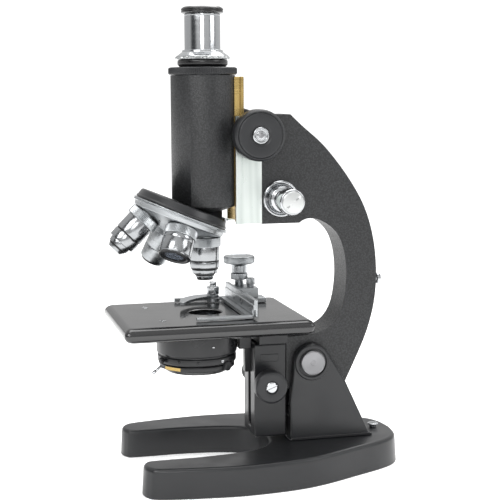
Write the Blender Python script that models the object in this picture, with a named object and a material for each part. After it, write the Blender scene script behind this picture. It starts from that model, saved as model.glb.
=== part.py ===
"""An upright monocular microscope: horseshoe base, inclinable limb, rack focusing, four objectives.

The object is laid out in millimetres about its optical axis: X = 0, Y = 0 is the axis of the tube,
Z = 0 is the table, +X points back to the limb and +Y to the far side. The root empty then carries the
whole instrument so that the world origin is the bottom centre of its bounding box.
"""

import math

import bmesh
import bpy
from mathutils import Vector

MM = 0.001
GAP = 0.3  # between pieces that touch
RUN = 0.3  # radial clearance between a shaft and its bore

# Base: horseshoe casting
BASE_HEIGHT = 20.8
BASE_DRAFT = 1.0
BASE_ROUND = 2.4
BASE_RELIEF = 1.0
PRONG_PAD_END = 59.0
HEEL_PAD_START = 124.0
HEEL_SCREW_X = 127.5
HEEL_SCREW_RADIUS = 4.0
HEEL_SCREW_STEM = 1.9
HEEL_SCREW_LIFT = 2.2

# Pillar and inclination joint
PIVOT_X = 74.0
PIVOT_Z = 77.6
PILLAR_HALF_WIDTH = 20.0
PILLAR_EAR = 13.5
PILLAR_FRONT = 57.8
PILLAR_REAR = 118.6
SLOT_FLOOR = 38.0
AXLE_RADIUS = 4.5
AXLE_CAP_RADIUS = 9.0
AXLE_CAP_THICKNESS = 2.4
PILLAR_BOLT_X = 86.0
PILLAR_BOLT_RADIUS = 3.0
PILLAR_BOLT_HEAD = 6.0
PILLAR_BOLT_SINK = 8.0
PILLAR_BOLT_DEPTH = 14.0

# Limb (the curved arm)
ARM_HALF_WIDTH = 14.0
ARM_FRONT = 56.3
ARM_SHELF = 96.0
HEAD_FRONT = 38.6
HEAD_BOTTOM = 178.0
HEAD_TOP = 254.6
BACK_SCREW_Z = 133.6
BACK_SCREW_STEM = 2.4
BACK_SCREW_RADIUS = 4.1
BACK_SCREW_REACH = 7.8

# Stage
STAGE_TOP = 114.7
STAGE_THICKNESS = 10.4
STAGE_FRONT = -65.4
STAGE_REAR = 66.6
STAGE_HALF_DEPTH = 52.6
STAGE_EDGE = 4.6
STAGE_HOLE_RADIUS = 12.0
CLIP_HOLE_X = -35.6
CLIP_HOLE_Y = 26.7
CLIP_HOLE_RADIUS = 2.2
BRACKET_FRONT = 34.0
BRACKET_REAR = 76.0
BRACKET_HALF_WIDTH = 20.0

# Tube
TUBE_RADIUS = 22.7
TUBE_BORE = 19.5
TUBE_TOP = 282.0
TUBE_CHAMFER_TOP = 191.4
TUBE_BOTTOM = 187.6
TUBE_FOOT_RADIUS = 13.4
LIGHT_BORE = 9.0
RING_RADIUS = 24.0
RING_HEIGHT = 5.4
COLLAR_RADIUS = 17.5
COLLAR_HEIGHT = 5.0
DRAW_RADIUS = 12.5
DRAW_WALL = 0.9
DRAW_TOP = 324.0
DRAW_BOTTOM = 226.0
EYECAP_LIP = 2.2
EYECAP_RADIUS = DRAW_RADIUS + EYECAP_LIP
EYECAP_HEIGHT = 4.4
EYEPIECE_RADIUS = DRAW_RADIUS - DRAW_WALL - RUN
EYEPIECE_LENGTH = 34.0
EYEPIECE_WALL = 1.3
EYE_OPENING = 4.5
CONE_LIP = 1.3
CONE_TOP_RADIUS = DRAW_RADIUS + CONE_LIP
CONE_RADIUS = 19.0
CONE_HEIGHT = 6.3

# Focusing slides
SLIDE_DEPTH = 3.4
SLIDE_HALF_WIDTH = 12.0
SLIDE_BOTTOM = 180.0
SLIDE_TOP = 280.8
RACK_WIDTH = 7.0
RACK_DEPTH = 2.1
CHEEK_FRONT = 19.9
CHEEK_THICKNESS = 2.7
BLOCK_HALF_WIDTH = 15.0
BLOCK_BOTTOM = 178.5
BLOCK_TOP = 253.8
COARSE_X = 32.6
COARSE_Z = 240.8
COARSE_RADIUS = 17.8
COARSE_THICKNESS = 12.0
COARSE_FACE = 35.0
PINION_SHAFT = 2.6
PINION_HALF_LENGTH = 5.0
COARSE_CAP_RADIUS = 5.8
COARSE_CAP_PROUD = 0.8
FINE_X = 52.0
FINE_Z = 195.5
FLANGE_RADIUS = 13.0
FLANGE_THICKNESS = 2.6
FINE_KNOB_RADIUS = 9.2
FINE_KNOB_NECK = 6.6
FINE_CAP_RADIUS = 7.3
FINE_FACE = 47.0
FINE_SHAFT = 3.2

# Nosepiece: its axis leans back from the apex, where every objective's axis meets the tube's axis
APEX_Z = 227.0
NOSE_TILT = math.radians(22.25)
RIM_DISTANCE = 45.2
RIM_RADIUS = 34.8
RIM_THICKNESS = 2.2
PLATE_RADIUS = 31.2
PLATE_FLARE = 33.6
PLATE_TOP_DISTANCE = 37.5
SEAT_DISTANCE = 58.2
PIVOT_SCREW_RADIUS = 5.0
PIVOT_SHANK_RADIUS = 3.0
OBJECTIVE_RING_RADIUS = 11.6
OBJECTIVE_RING_HEIGHT = 6.4

# Substage
GUIDE_FRONT = 32.4
GUIDE_HALF_WIDTH = 15.0
GUIDE_LIFT = 3.2  # above the base
GUIDE_BOTTOM = BASE_HEIGHT + GUIDE_LIFT
GUIDE_TOP = 92.0
GUIDE_SLOT_HALF_WIDTH = 3.2
GUIDE_SLOT_BOTTOM = GUIDE_BOTTOM + 6.0
SUBSTAGE_X = 40.0
SUBSTAGE_Z = 64.7
SUBSTAGE_KNOB_RADIUS = 11.6
SUBSTAGE_KNOB_THICKNESS = 9.0
SUBSTAGE_FACE = 35.0
CLAMP_KNOB_RADIUS = 7.8
CLAMP_KNOB_FACE = 24.5
SUBSTAGE_SHAFT = 2.5
SUBSTAGE_PINION = 3.4
CONDENSER_X = -6.3
CONDENSER_RADIUS = 28.7
CONDENSER_TOP = 103.0
CONDENSER_RING_BOTTOM = 87.0
CONDENSER_BOTTOM = 73.6
CONDENSER_BOWL_RADIUS = 21.5
CONDENSER_BORE = 17.0
CONDENSER_LENS_RADIUS = 15.0
IRIS_HEIGHT = 3.2
IRIS_Z = 78.4

# Mechanical stage and specimen holder
PLATE_X = 25.6
PLATE_THICKNESS = 3.2
PLATE_NEAR = -39.0
PLATE_FAR = 47.0
PLATE_HEIGHT = 12.0
CROSS_LIFT = 1.6
KNOB_COLUMN_X = 34.6
KNOB_COLUMN_Y = 38.0
KNOB_COLUMN_RADIUS = 3.3
RAIL_HEIGHT = 4.0
RAIL_SETBACK = 3.6
RAIL_LENGTH = 19.4
RAIL_STEP = 6.0
BRIDGE_NEAR = 24.0
BRIDGE_FAR = 45.0
BRIDGE_REAR = 45.8
BRIDGE_HEIGHT = 7.4
CLAMP_SCREW_X = 41.0
CLAMP_SCREW_Y = 29.0
CLAMP_SCREW_RADIUS = 3.2
HOLDER_REACH = 39.0
HOLDER_ARM_WIDTH = 4.0
HOLDER_THICKNESS = 2.4
SLIDE_LENGTH = 76.6
POST_X = 14.5
POST_INSET = 4.0
POST_RADIUS = 4.7
POST_HEIGHT = 9.0

for stale in list(bpy.data.objects):
    bpy.data.objects.remove(stale, do_unlink=True)


def finish(name, red, green, blue, roughness, metallic):
    """One Principled material with a linear base colour."""
    made = bpy.data.materials.new(name)
    made.use_nodes = True
    shader = made.node_tree.nodes["Principled BSDF"]
    shader.inputs["Base Color"].default_value = (red, green, blue, 1)
    shader.inputs["Roughness"].default_value = roughness
    shader.inputs["Metallic"].default_value = metallic
    made.diffuse_color = (red, green, blue, 1)
    return made


ENAMEL = finish("black_enamel", 0.035, 0.036, 0.038, 0.35, 0)
CRACKLE = finish("crackle_enamel", 0.04, 0.041, 0.043, 0.5, 0)
GLOSS = finish("gloss_black", 0.02, 0.02, 0.021, 0.12, 0)
PLASTIC = finish("knob_plastic", 0.03, 0.03, 0.032, 0.45, 0)
CHROME = finish("chrome", 0.62, 0.63, 0.64, 0.12, 1)
SATIN = finish("satin_nickel", 0.5, 0.51, 0.5, 0.35, 1)
ALUMINIUM = finish("satin_aluminium", 0.62, 0.65, 0.63, 0.38, 1)
STEEL = finish("grey_steel", 0.25, 0.25, 0.26, 0.45, 1)
BRASS = finish("brass", 0.52, 0.4, 0.2, 0.32, 1)
GLASS = finish("optical_glass", 0.7, 0.75, 0.78, 0.03, 0)


def empty(name, at=(0, 0, 0), parent=None):
    """An empty that carries pieces: a frame at a place given in millimetres."""
    frame = bpy.data.objects.new(name, None)
    frame.empty_display_size = 10 * MM
    bpy.context.scene.collection.objects.link(frame)
    frame.parent = parent
    frame.location = Vector(at) * MM
    return frame


ROOT = empty("microscope")
UP = (0, 0, 1)
NEAR = (0, -1, 0)
FAR = (0, 1, 0)


def piece(name, mesh_builder, material, at=(0, 0, 0), along=UP, parent=ROOT):
    """A named object whose local Z points along a direction, from a bmesh in millimetres."""
    bmesh.ops.recalc_face_normals(mesh_builder, faces=mesh_builder.faces)
    bmesh.ops.scale(mesh_builder, vec=(MM, MM, MM), verts=mesh_builder.verts)
    mesh = bpy.data.meshes.new(name)
    mesh_builder.to_mesh(mesh)
    mesh_builder.free()
    mesh.shade_smooth()
    mesh.set_sharp_from_angle(angle=math.radians(35))
    made = bpy.data.objects.new(name, mesh)
    bpy.context.scene.collection.objects.link(made)
    made.data.materials.append(material)
    made.parent = parent
    made.location = Vector(at) * MM
    if tuple(along) != UP:
        made.rotation_euler = Vector(along).to_track_quat("Z", "Y").to_euler()
    return made


def facets(radius):
    """How many flats stand for a circle of this radius."""
    for limit, count in ((4, 12), (8, 16), (16, 20), (24, 26)):
        if radius < limit:
            return count
    return 32


def turned(profile):
    """A bmesh turned about Z from (radius, height) points: a solid from pole to pole, or a closed ring."""
    made = bmesh.new()
    segments = facets(max(radius for radius, height in profile))
    rings = []
    for radius, height in profile:
        if radius == 0:
            rings.append([made.verts.new((0, 0, height))])
            continue
        rings.append([
            made.verts.new((radius * math.cos(turn), radius * math.sin(turn), height))
            for turn in (2 * math.pi * step / segments for step in range(segments))
        ])
    pairs = list(zip(rings, rings[1:]))
    if len(rings[0]) > 1:
        pairs.append((rings[-1], rings[0]))
    for first, second in pairs:
        for step in range(segments):
            after = (step + 1) % segments
            if len(first) == 1:
                made.faces.new((first[0], second[step], second[after]))
            elif len(second) == 1:
                made.faces.new((first[step], first[after], second[0]))
            else:
                made.faces.new((first[step], first[after], second[after], second[step]))
    return made


def prism(outline, low, high, across="Y"):
    """A bmesh extruded from a flat outline: (X, Z) points across Y, or (X, Y) points up Z."""
    made = bmesh.new()
    rings = []
    for level in (low, high):
        if across == "Y":
            rings.append([made.verts.new((x, level, z)) for x, z in outline])
        else:
            rings.append([made.verts.new((x, y, level)) for x, y in outline])
    made.faces.new(rings[0])
    made.faces.new(rings[1])
    count = len(outline)
    for step in range(count):
        after = (step + 1) % count
        made.faces.new((rings[0][step], rings[0][after], rings[1][after], rings[1][step]))
    return made


def block(low, high):
    """A bmesh box between two corners."""
    outline = [(low[0], low[1]), (high[0], low[1]), (high[0], high[1]), (low[0], high[1])]
    return prism(outline, low[2], high[2], across="Z")


def rod(radius, low, high):
    """A bmesh cylinder along Z."""
    return turned([(0, low), (radius, low), (radius, high), (0, high)])


def arc(centre, radius, start, end, steps):
    """Points on an arc in degrees, both ends included."""
    turns = [math.radians(start + (end - start) * step / steps) for step in range(steps + 1)]
    return [(centre[0] + radius * math.cos(turn), centre[1] + radius * math.sin(turn)) for turn in turns]


def curve(points, steps):
    """A smooth open curve through the points (Catmull-Rom), with steps pieces between each pair."""
    ends = [points[0]] + list(points) + [points[-1]]
    made = []
    for before, start, stop, after in zip(ends, ends[1:], ends[2:], ends[3:]):
        for step in range(steps):
            t = step / steps
            made.append(tuple(
                0.5 * (2 * s + (e - b) * t + (2 * b - 5 * s + 4 * e - a) * t**2
                       + (3 * s - b - 3 * e + a) * t**3)
                for b, s, e, a in zip(before, start, stop, after)
            ))
    return made + [tuple(points[-1])]


def soften(made, width, segments=1, angle=50):
    """A bevel on the edges sharper than the angle."""
    bevel = made.modifiers.new("edges", "BEVEL")
    bevel.width = width * MM
    bevel.segments = segments
    bevel.limit_method = "ANGLE"
    bevel.angle_limit = math.radians(angle)
    return made


def combine(made, name, tool_mesh, operation="DIFFERENCE", at=(0, 0, 0), along=UP, parent=ROOT):
    """Cuts a shape from a piece, or adds one to it, with a hidden tool object."""
    tool = piece(name, tool_mesh, made.data.materials[0], at, along, parent)
    tool.hide_render = True
    tool.display_type = "WIRE"
    change = made.modifiers.new(name, "BOOLEAN")
    change.operation = operation
    change.solver = "EXACT"
    change.object = tool
    return made


# ---------------------------------------------------------------- base and pillar
def horseshoe(inset):
    """The base's plan, drawn in by an inset along its own normals: the far half mirrors the near one."""
    outer = [(141.2, 0), (138.2, 18), (128, 31.5), (101.5, 45.5), (60, 63.5), (17.7, 69), (-14.5, 66.9),
             (-44, 62), (-51.6, 57), (-54, 49.5), (-52, 41.5), (-45, 38.4), (-13, 38.2), (15, 34.8),
             (33, 28), (42.5, 15), (45.5, 0)]
    half = curve(outer, 2)
    loop = half + [(x, -y) for x, y in reversed(half[1:-1])]
    count = len(loop)
    drawn = []
    for step, (x, y) in enumerate(loop):
        before, after = Vector(loop[step - 1]), Vector(loop[(step + 1) % count])
        along = (after - before).normalized()
        drawn.append((x - along.y * inset, y + along.x * inset))
    return drawn


def base_mesh():
    """The casting in levels from the table up: drafted side, then a rounded top edge."""
    made = bmesh.new()
    levels = [(0, -BASE_DRAFT), (BASE_HEIGHT - BASE_ROUND, 0),
              (BASE_HEIGHT - 0.3 * BASE_ROUND, 0.3 * BASE_ROUND), (BASE_HEIGHT, BASE_ROUND)]
    rings = [[made.verts.new((x, y, z)) for x, y in horseshoe(inset)] for z, inset in levels]
    made.faces.new(rings[0])
    made.faces.new(rings[-1])
    count = len(rings[0])
    for low, high in zip(rings, rings[1:]):
        for step in range(count):
            after = (step + 1) % count
            made.faces.new((low[step], low[after], high[after], high[step]))
    return made


base = piece("base", base_mesh(), ENAMEL)
combine(base, "base_relief_cutter",
        block((PRONG_PAD_END, -90, -5), (HEEL_PAD_START, 90, BASE_RELIEF)))
combine(base, "base_bolt_cutter",
        turned([(0, -6), (PILLAR_BOLT_HEAD + 0.6, -6), (PILLAR_BOLT_HEAD + 0.6, PILLAR_BOLT_SINK),
                (PILLAR_BOLT_RADIUS + RUN, PILLAR_BOLT_SINK),
                (PILLAR_BOLT_RADIUS + RUN, BASE_HEIGHT + 5), (0, BASE_HEIGHT + 5)]),
        at=(PILLAR_BOLT_X, 0, 0))
combine(base, "heel_screw_cutter", rod(HEEL_SCREW_STEM + RUN, BASE_HEIGHT - 8, BASE_HEIGHT + 5),
        at=(HEEL_SCREW_X, 0, 0))

piece("heel_screw",
      turned([(0, BASE_HEIGHT - 7.5), (HEEL_SCREW_STEM, BASE_HEIGHT - 7.5),
              (HEEL_SCREW_STEM, BASE_HEIGHT + HEEL_SCREW_LIFT),
              (HEEL_SCREW_RADIUS, BASE_HEIGHT + HEEL_SCREW_LIFT),
              (HEEL_SCREW_RADIUS, BASE_HEIGHT + HEEL_SCREW_LIFT + 1.2),
              (0, BASE_HEIGHT + HEEL_SCREW_LIFT + 1.2)]),
      CHROME, at=(HEEL_SCREW_X, 0, 0))

PILLAR_FOOT = BASE_HEIGHT + GAP
pillar_outline = [(PILLAR_FRONT, PILLAR_FOOT), (PIVOT_X - PILLAR_EAR, PIVOT_Z - 8)]
pillar_outline += arc((PIVOT_X, PIVOT_Z), PILLAR_EAR, 180, 30, 10)
pillar_outline += [(PIVOT_X + 25.2, PIVOT_Z - 15.2), (PILLAR_REAR, PILLAR_FOOT)]
pillar = soften(piece("pillar", prism(pillar_outline, -PILLAR_HALF_WIDTH, PILLAR_HALF_WIDTH), ENAMEL),
                1.2)
combine(pillar, "pillar_slot_cutter",
        block((PILLAR_FRONT - 20, -ARM_HALF_WIDTH - GAP, SLOT_FLOOR),
              (PILLAR_REAR + 20, ARM_HALF_WIDTH + GAP, PIVOT_Z + 40)))
combine(pillar, "pillar_bore_cutter", rod(AXLE_RADIUS + RUN, -40, 40), at=(PIVOT_X, 0, PIVOT_Z),
        along=NEAR)
combine(pillar, "pillar_bolt_cutter",
        rod(PILLAR_BOLT_RADIUS + RUN, 0, BASE_HEIGHT + PILLAR_BOLT_DEPTH),
        at=(PILLAR_BOLT_X, 0, 0))

BOLT_HEAD_TOP = PILLAR_BOLT_SINK - GAP
piece("pillar_bolt",
      turned([(0, BOLT_HEAD_TOP - 5), (PILLAR_BOLT_HEAD, BOLT_HEAD_TOP - 5),
              (PILLAR_BOLT_HEAD, BOLT_HEAD_TOP), (PILLAR_BOLT_RADIUS, BOLT_HEAD_TOP),
              (PILLAR_BOLT_RADIUS, BASE_HEIGHT + PILLAR_BOLT_DEPTH - 1),
              (0, BASE_HEIGHT + PILLAR_BOLT_DEPTH - 1)]),
      STEEL, at=(PILLAR_BOLT_X, 0, 0))

piece("inclination_axle", rod(AXLE_RADIUS, -PILLAR_HALF_WIDTH, PILLAR_HALF_WIDTH),
      STEEL, at=(PIVOT_X, 0, PIVOT_Z), along=NEAR)
for side, along in (("near", NEAR), ("far", FAR)):
    start = PILLAR_HALF_WIDTH + GAP
    piece(f"inclination_cap_{side}",
          turned([(0, start), (AXLE_CAP_RADIUS, start),
                  (AXLE_CAP_RADIUS, start + AXLE_CAP_THICKNESS - 0.5),
                  (AXLE_CAP_RADIUS - 0.6, start + AXLE_CAP_THICKNESS), (0, start + AXLE_CAP_THICKNESS)]),
          STEEL, at=(PIVOT_X, 0, PIVOT_Z), along=along)

# ---------------------------------------------------------------- limb, carried by the inclination joint
LIMB = empty("inclination", (PIVOT_X, 0, PIVOT_Z), ROOT)
LIMB_ORIGIN = Vector((PIVOT_X, 0, PIVOT_Z))


def on_limb(point):
    """A point of the whole instrument, as seen from the inclination joint."""
    return Vector(point) - LIMB_ORIGIN


arm_back = curve([(59.5, HEAD_TOP), (67.6, 247), (85.4, 231), (103.8, 207.4), (116.3, 184.2), (123, 157),
                  (123.6, 126), (116.8, 96.6), (101, 61.6)], 2)
arm_foot = curve([(101, 61.6), (95, 51), (84, 46.5), (70, 48), (ARM_FRONT, 60)], 2)
arm_inside = curve([(70, 96.6), (80, 98.2), (90.5, 103.4), (97.6, 114), (100.9, 130.4), (100.9, 148),
                    (97.4, 163.5), (90.6, 173.6), (81, 179.6), (73, 180.9), (68.4, 179.6)], 2)
ARM_TIP = 98.8
arm_outline = (arm_back + arm_foot[1:] + [(ARM_FRONT, ARM_SHELF)] + arm_inside
               + [(66, HEAD_BOTTOM), (HEAD_FRONT, HEAD_BOTTOM), (HEAD_FRONT, HEAD_TOP)])
arm = piece("arm", prism(arm_outline, -ARM_HALF_WIDTH, ARM_HALF_WIDTH), CRACKLE,
            at=-LIMB_ORIGIN, parent=LIMB)
soften(arm, 2.2, 2, 60)
combine(arm, "arm_pivot_cutter", rod(AXLE_RADIUS + RUN, -40, 40), at=(PIVOT_X, 0, PIVOT_Z), along=NEAR)
combine(arm, "arm_fine_cutter", rod(FINE_SHAFT + RUN, -40, 40), at=(FINE_X, 0, FINE_Z), along=NEAR)
BACK_SCREW_X = max(x for x, z in arm_back if abs(z - BACK_SCREW_Z) < 16)
combine(arm, "back_screw_cutter", rod(BACK_SCREW_STEM + RUN, -9, 10), at=(BACK_SCREW_X, 0, BACK_SCREW_Z),
        along=(1, 0, 0))
piece("arm_back_screw",
      turned([(0, -8.5), (BACK_SCREW_STEM, -8.5), (BACK_SCREW_STEM, BACK_SCREW_REACH - 3),
              (BACK_SCREW_RADIUS, BACK_SCREW_REACH - 3), (BACK_SCREW_RADIUS, BACK_SCREW_REACH - 0.6),
              (BACK_SCREW_RADIUS - 0.6, BACK_SCREW_REACH), (0, BACK_SCREW_REACH)]),
      CHROME, at=on_limb((BACK_SCREW_X, 0, BACK_SCREW_Z)), along=(1, 0, 0), parent=LIMB)

# Stage and its bracket
STAGE_BOTTOM = STAGE_TOP - STAGE_THICKNESS
bracket = piece("stage_bracket",
                block((BRACKET_FRONT, -BRACKET_HALF_WIDTH, ARM_TIP + GAP),
                      (BRACKET_REAR, BRACKET_HALF_WIDTH, STAGE_BOTTOM - GAP)),
                ENAMEL, at=-LIMB_ORIGIN, parent=LIMB)
combine(bracket, "bracket_foot",
        block((BRACKET_FRONT + 1, -BRACKET_HALF_WIDTH + 1, GUIDE_TOP + GAP),
              (ARM_FRONT - GAP, BRACKET_HALF_WIDTH - 1, STAGE_BOTTOM - 2)), "UNION")

stage = piece("stage_plate",
              block((STAGE_FRONT, -STAGE_HALF_DEPTH, STAGE_BOTTOM),
                    (STAGE_REAR, STAGE_HALF_DEPTH, STAGE_TOP)),
              GLOSS, at=-LIMB_ORIGIN, parent=LIMB)
soften(stage, STAGE_EDGE, 3, 60)
combine(stage, "stage_hole_cutter", rod(STAGE_HOLE_RADIUS, STAGE_BOTTOM - 5, STAGE_TOP + 5))
for side in (-1, 1):
    combine(stage, f"clip_hole_cutter_{side}", rod(CLIP_HOLE_RADIUS, STAGE_BOTTOM - 5, STAGE_TOP + 5),
            at=(CLIP_HOLE_X, side * CLIP_HOLE_Y, 0))

# ---------------------------------------------------------------- fine focus
for side, along in (("near", NEAR), ("far", FAR)):
    start = ARM_HALF_WIDTH + GAP
    piece(f"fine_flange_{side}",
          turned([(FINE_SHAFT + RUN, start), (FLANGE_RADIUS, start),
                  (FLANGE_RADIUS, start + FLANGE_THICKNESS - 0.8),
                  (FLANGE_RADIUS - 0.8, start + FLANGE_THICKNESS),
                  (FINE_SHAFT + RUN, start + FLANGE_THICKNESS)]),
          CHROME, at=on_limb((FINE_X, 0, FINE_Z)), along=along, parent=LIMB)

FINE = empty("fine_knob", on_limb((FINE_X, 0, FINE_Z)), LIMB)
KNOB_START = ARM_HALF_WIDTH + GAP + FLANGE_THICKNESS + GAP
CAP_THICKNESS = 1.2
piece("fine_shaft", rod(FINE_SHAFT, -(KNOB_START + 8), KNOB_START + 8), STEEL, along=NEAR, parent=FINE)
for side, along in (("near", NEAR), ("far", FAR)):
    end = FINE_FACE - CAP_THICKNESS - GAP
    piece(f"fine_knob_{side}",
          turned([(0, KNOB_START + 8 + GAP), (FINE_SHAFT + RUN, KNOB_START + 8 + GAP),
                  (FINE_SHAFT + RUN, KNOB_START), (FINE_KNOB_RADIUS, KNOB_START),
                  (FINE_KNOB_RADIUS, KNOB_START + 4), (FINE_KNOB_NECK, KNOB_START + 6),
                  (FINE_KNOB_NECK, end - 12), (FINE_KNOB_RADIUS, end - 10), (FINE_KNOB_RADIUS, end - 1),
                  (FINE_KNOB_RADIUS - 1, end), (0, end)]),
          CHROME, along=along, parent=FINE)
    piece(f"fine_cap_{side}",
          turned([(0, end + GAP), (FINE_CAP_RADIUS, end + GAP), (FINE_CAP_RADIUS, end + GAP + 0.8),
                  (FINE_CAP_RADIUS - 0.4, FINE_FACE), (0, FINE_FACE)]),
          ALUMINIUM, along=along, parent=FINE)

FINE_SLIDE = empty("fine_focus", (0, 0, 0), LIMB)
BLOCK_REAR = HEAD_FRONT - GAP
SLIDE_FRONT = TUBE_RADIUS + GAP
RACK_FRONT = SLIDE_FRONT + SLIDE_DEPTH + GAP
RACK_BACK = RACK_FRONT + RACK_DEPTH
PINION_RADIUS = COARSE_X - RACK_BACK - GAP
guide = soften(piece("guide_block",
                     block((CHEEK_FRONT, -BLOCK_HALF_WIDTH, BLOCK_BOTTOM),
                           (BLOCK_REAR, BLOCK_HALF_WIDTH, BLOCK_TOP)),
                     ALUMINIUM, at=-LIMB_ORIGIN, parent=FINE_SLIDE), 0.6)
channel = BLOCK_HALF_WIDTH - CHEEK_THICKNESS
combine(guide, "guide_channel_cutter",
        block((CHEEK_FRONT - 20, -channel, BLOCK_BOTTOM - 5), (RACK_FRONT, channel, BLOCK_TOP + 5)))
combine(guide, "rack_groove_cutter",
        block((RACK_FRONT - 3, -RACK_WIDTH / 2 - GAP, BLOCK_BOTTOM - 5),
              (RACK_BACK + GAP, RACK_WIDTH / 2 + GAP, BLOCK_TOP + 5)))
combine(guide, "pinion_pocket_cutter",
        rod(PINION_RADIUS + 1, -PINION_HALF_LENGTH - 1, PINION_HALF_LENGTH + 1),
        at=(COARSE_X, 0, COARSE_Z), along=NEAR)
combine(guide, "pinion_shaft_cutter", rod(PINION_SHAFT + RUN, -40, 40), at=(COARSE_X, 0, COARSE_Z),
        along=NEAR)

# ---------------------------------------------------------------- coarse focus
COARSE = empty("coarse_knob", on_limb((COARSE_X, 0, COARSE_Z)), FINE_SLIDE)
KNOB_IN = COARSE_FACE - COARSE_THICKNESS
piece("coarse_pinion",
      turned([(0, -(KNOB_IN + 7)), (PINION_SHAFT, -(KNOB_IN + 7)), (PINION_SHAFT, -PINION_HALF_LENGTH),
              (PINION_RADIUS, -PINION_HALF_LENGTH), (PINION_RADIUS, PINION_HALF_LENGTH),
              (PINION_SHAFT, PINION_HALF_LENGTH), (PINION_SHAFT, KNOB_IN + 7), (0, KNOB_IN + 7)]),
      STEEL, along=NEAR, parent=COARSE)
for side, along in (("near", NEAR), ("far", FAR)):
    hollow = KNOB_IN + 7 + GAP
    piece(f"coarse_knob_{side}",
          turned([(0, hollow), (PINION_SHAFT + RUN, hollow), (PINION_SHAFT + RUN, BLOCK_HALF_WIDTH + 1),
                  (PINION_SHAFT + 4, BLOCK_HALF_WIDTH + 1), (PINION_SHAFT + 4, KNOB_IN),
                  (COARSE_RADIUS - 1, KNOB_IN), (COARSE_RADIUS, KNOB_IN + 1),
                  (COARSE_RADIUS, COARSE_FACE - 2),
                  (COARSE_RADIUS - 1.6, COARSE_FACE), (COARSE_CAP_RADIUS + GAP, COARSE_FACE),
                  (COARSE_CAP_RADIUS + GAP, COARSE_FACE - 1.6), (0, COARSE_FACE - 1.6)]),
          PLASTIC, along=along, parent=COARSE)
    piece(f"coarse_cap_{side}",
          turned([(0, COARSE_FACE - 1.6 + GAP), (COARSE_CAP_RADIUS, COARSE_FACE - 1.6 + GAP),
                  (COARSE_CAP_RADIUS, COARSE_FACE + 0.2),
                  (COARSE_CAP_RADIUS - 0.8, COARSE_FACE + COARSE_CAP_PROUD),
                  (0, COARSE_FACE + COARSE_CAP_PROUD)]),
          CHROME, along=along, parent=COARSE)

# ---------------------------------------------------------------- body tube
TUBE = empty("coarse_focus", (0, 0, 0), FINE_SLIDE)
NOSE_DOWN = Vector((-math.sin(NOSE_TILT), 0, -math.cos(NOSE_TILT)))
APEX = Vector((0, 0, APEX_Z))
NOSE_UP = tuple(-NOSE_DOWN)


def nose_height(distance):
    """A height along the nosepiece's own axis, for a distance below the apex."""
    return -distance


tube = piece("body_tube",
             turned([(LIGHT_BORE, TUBE_BOTTOM), (TUBE_FOOT_RADIUS, TUBE_BOTTOM),
                     (TUBE_RADIUS, TUBE_CHAMFER_TOP),
                     (TUBE_RADIUS, TUBE_TOP), (TUBE_BORE, TUBE_TOP), (TUBE_BORE, 204),
                     (LIGHT_BORE, 200)]),
             CRACKLE, at=-LIMB_ORIGIN, parent=TUBE)
combine(tube, "tube_foot_cutter",
        rod(PLATE_FLARE + 20, nose_height(PLATE_TOP_DISTANCE + 60),
            nose_height(PLATE_TOP_DISTANCE - GAP)),
        at=APEX, along=NOSE_UP)
piece("tube_ring",
      turned([(TUBE_BORE, TUBE_TOP + GAP), (RING_RADIUS - 0.6, TUBE_TOP + GAP),
              (RING_RADIUS, TUBE_TOP + 0.9),
              (RING_RADIUS, TUBE_TOP + RING_HEIGHT - 1), (RING_RADIUS - 1, TUBE_TOP + RING_HEIGHT),
              (TUBE_BORE - 4, TUBE_TOP + RING_HEIGHT), (TUBE_BORE - 4, TUBE_TOP + 2),
              (TUBE_BORE, TUBE_TOP + 2)]),
      PLASTIC, at=-LIMB_ORIGIN, parent=TUBE)
COLLAR_BOTTOM = TUBE_TOP + RING_HEIGHT + GAP
COLLAR_TOP = COLLAR_BOTTOM + COLLAR_HEIGHT
piece("tube_collar",
      turned([(DRAW_RADIUS + RUN, COLLAR_BOTTOM), (COLLAR_RADIUS, COLLAR_BOTTOM),
              (COLLAR_RADIUS, COLLAR_TOP),
              (DRAW_RADIUS + RUN, COLLAR_TOP)]),
      PLASTIC, at=-LIMB_ORIGIN, parent=TUBE)
CONE_BOTTOM = COLLAR_TOP + GAP
piece("draw_tube_ring",
      turned([(DRAW_RADIUS + RUN, CONE_BOTTOM), (CONE_RADIUS, CONE_BOTTOM),
              (CONE_RADIUS, CONE_BOTTOM + 1.3),
              (CONE_TOP_RADIUS + 1, CONE_BOTTOM + CONE_HEIGHT - 2.2),
              (CONE_TOP_RADIUS, CONE_BOTTOM + CONE_HEIGHT),
              (DRAW_RADIUS + RUN, CONE_BOTTOM + CONE_HEIGHT)]),
      CHROME, at=-LIMB_ORIGIN, parent=TUBE)

piece("tube_slide",
      block((SLIDE_FRONT, -SLIDE_HALF_WIDTH, SLIDE_BOTTOM),
            (SLIDE_FRONT + SLIDE_DEPTH, SLIDE_HALF_WIDTH, SLIDE_TOP)),
      BRASS, at=-LIMB_ORIGIN, parent=TUBE)
piece("coarse_rack",
      block((RACK_FRONT, -RACK_WIDTH / 2, SLIDE_BOTTOM + 2), (RACK_BACK, RACK_WIDTH / 2, SLIDE_TOP - 1)),
      BRASS, at=-LIMB_ORIGIN, parent=TUBE)

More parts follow.
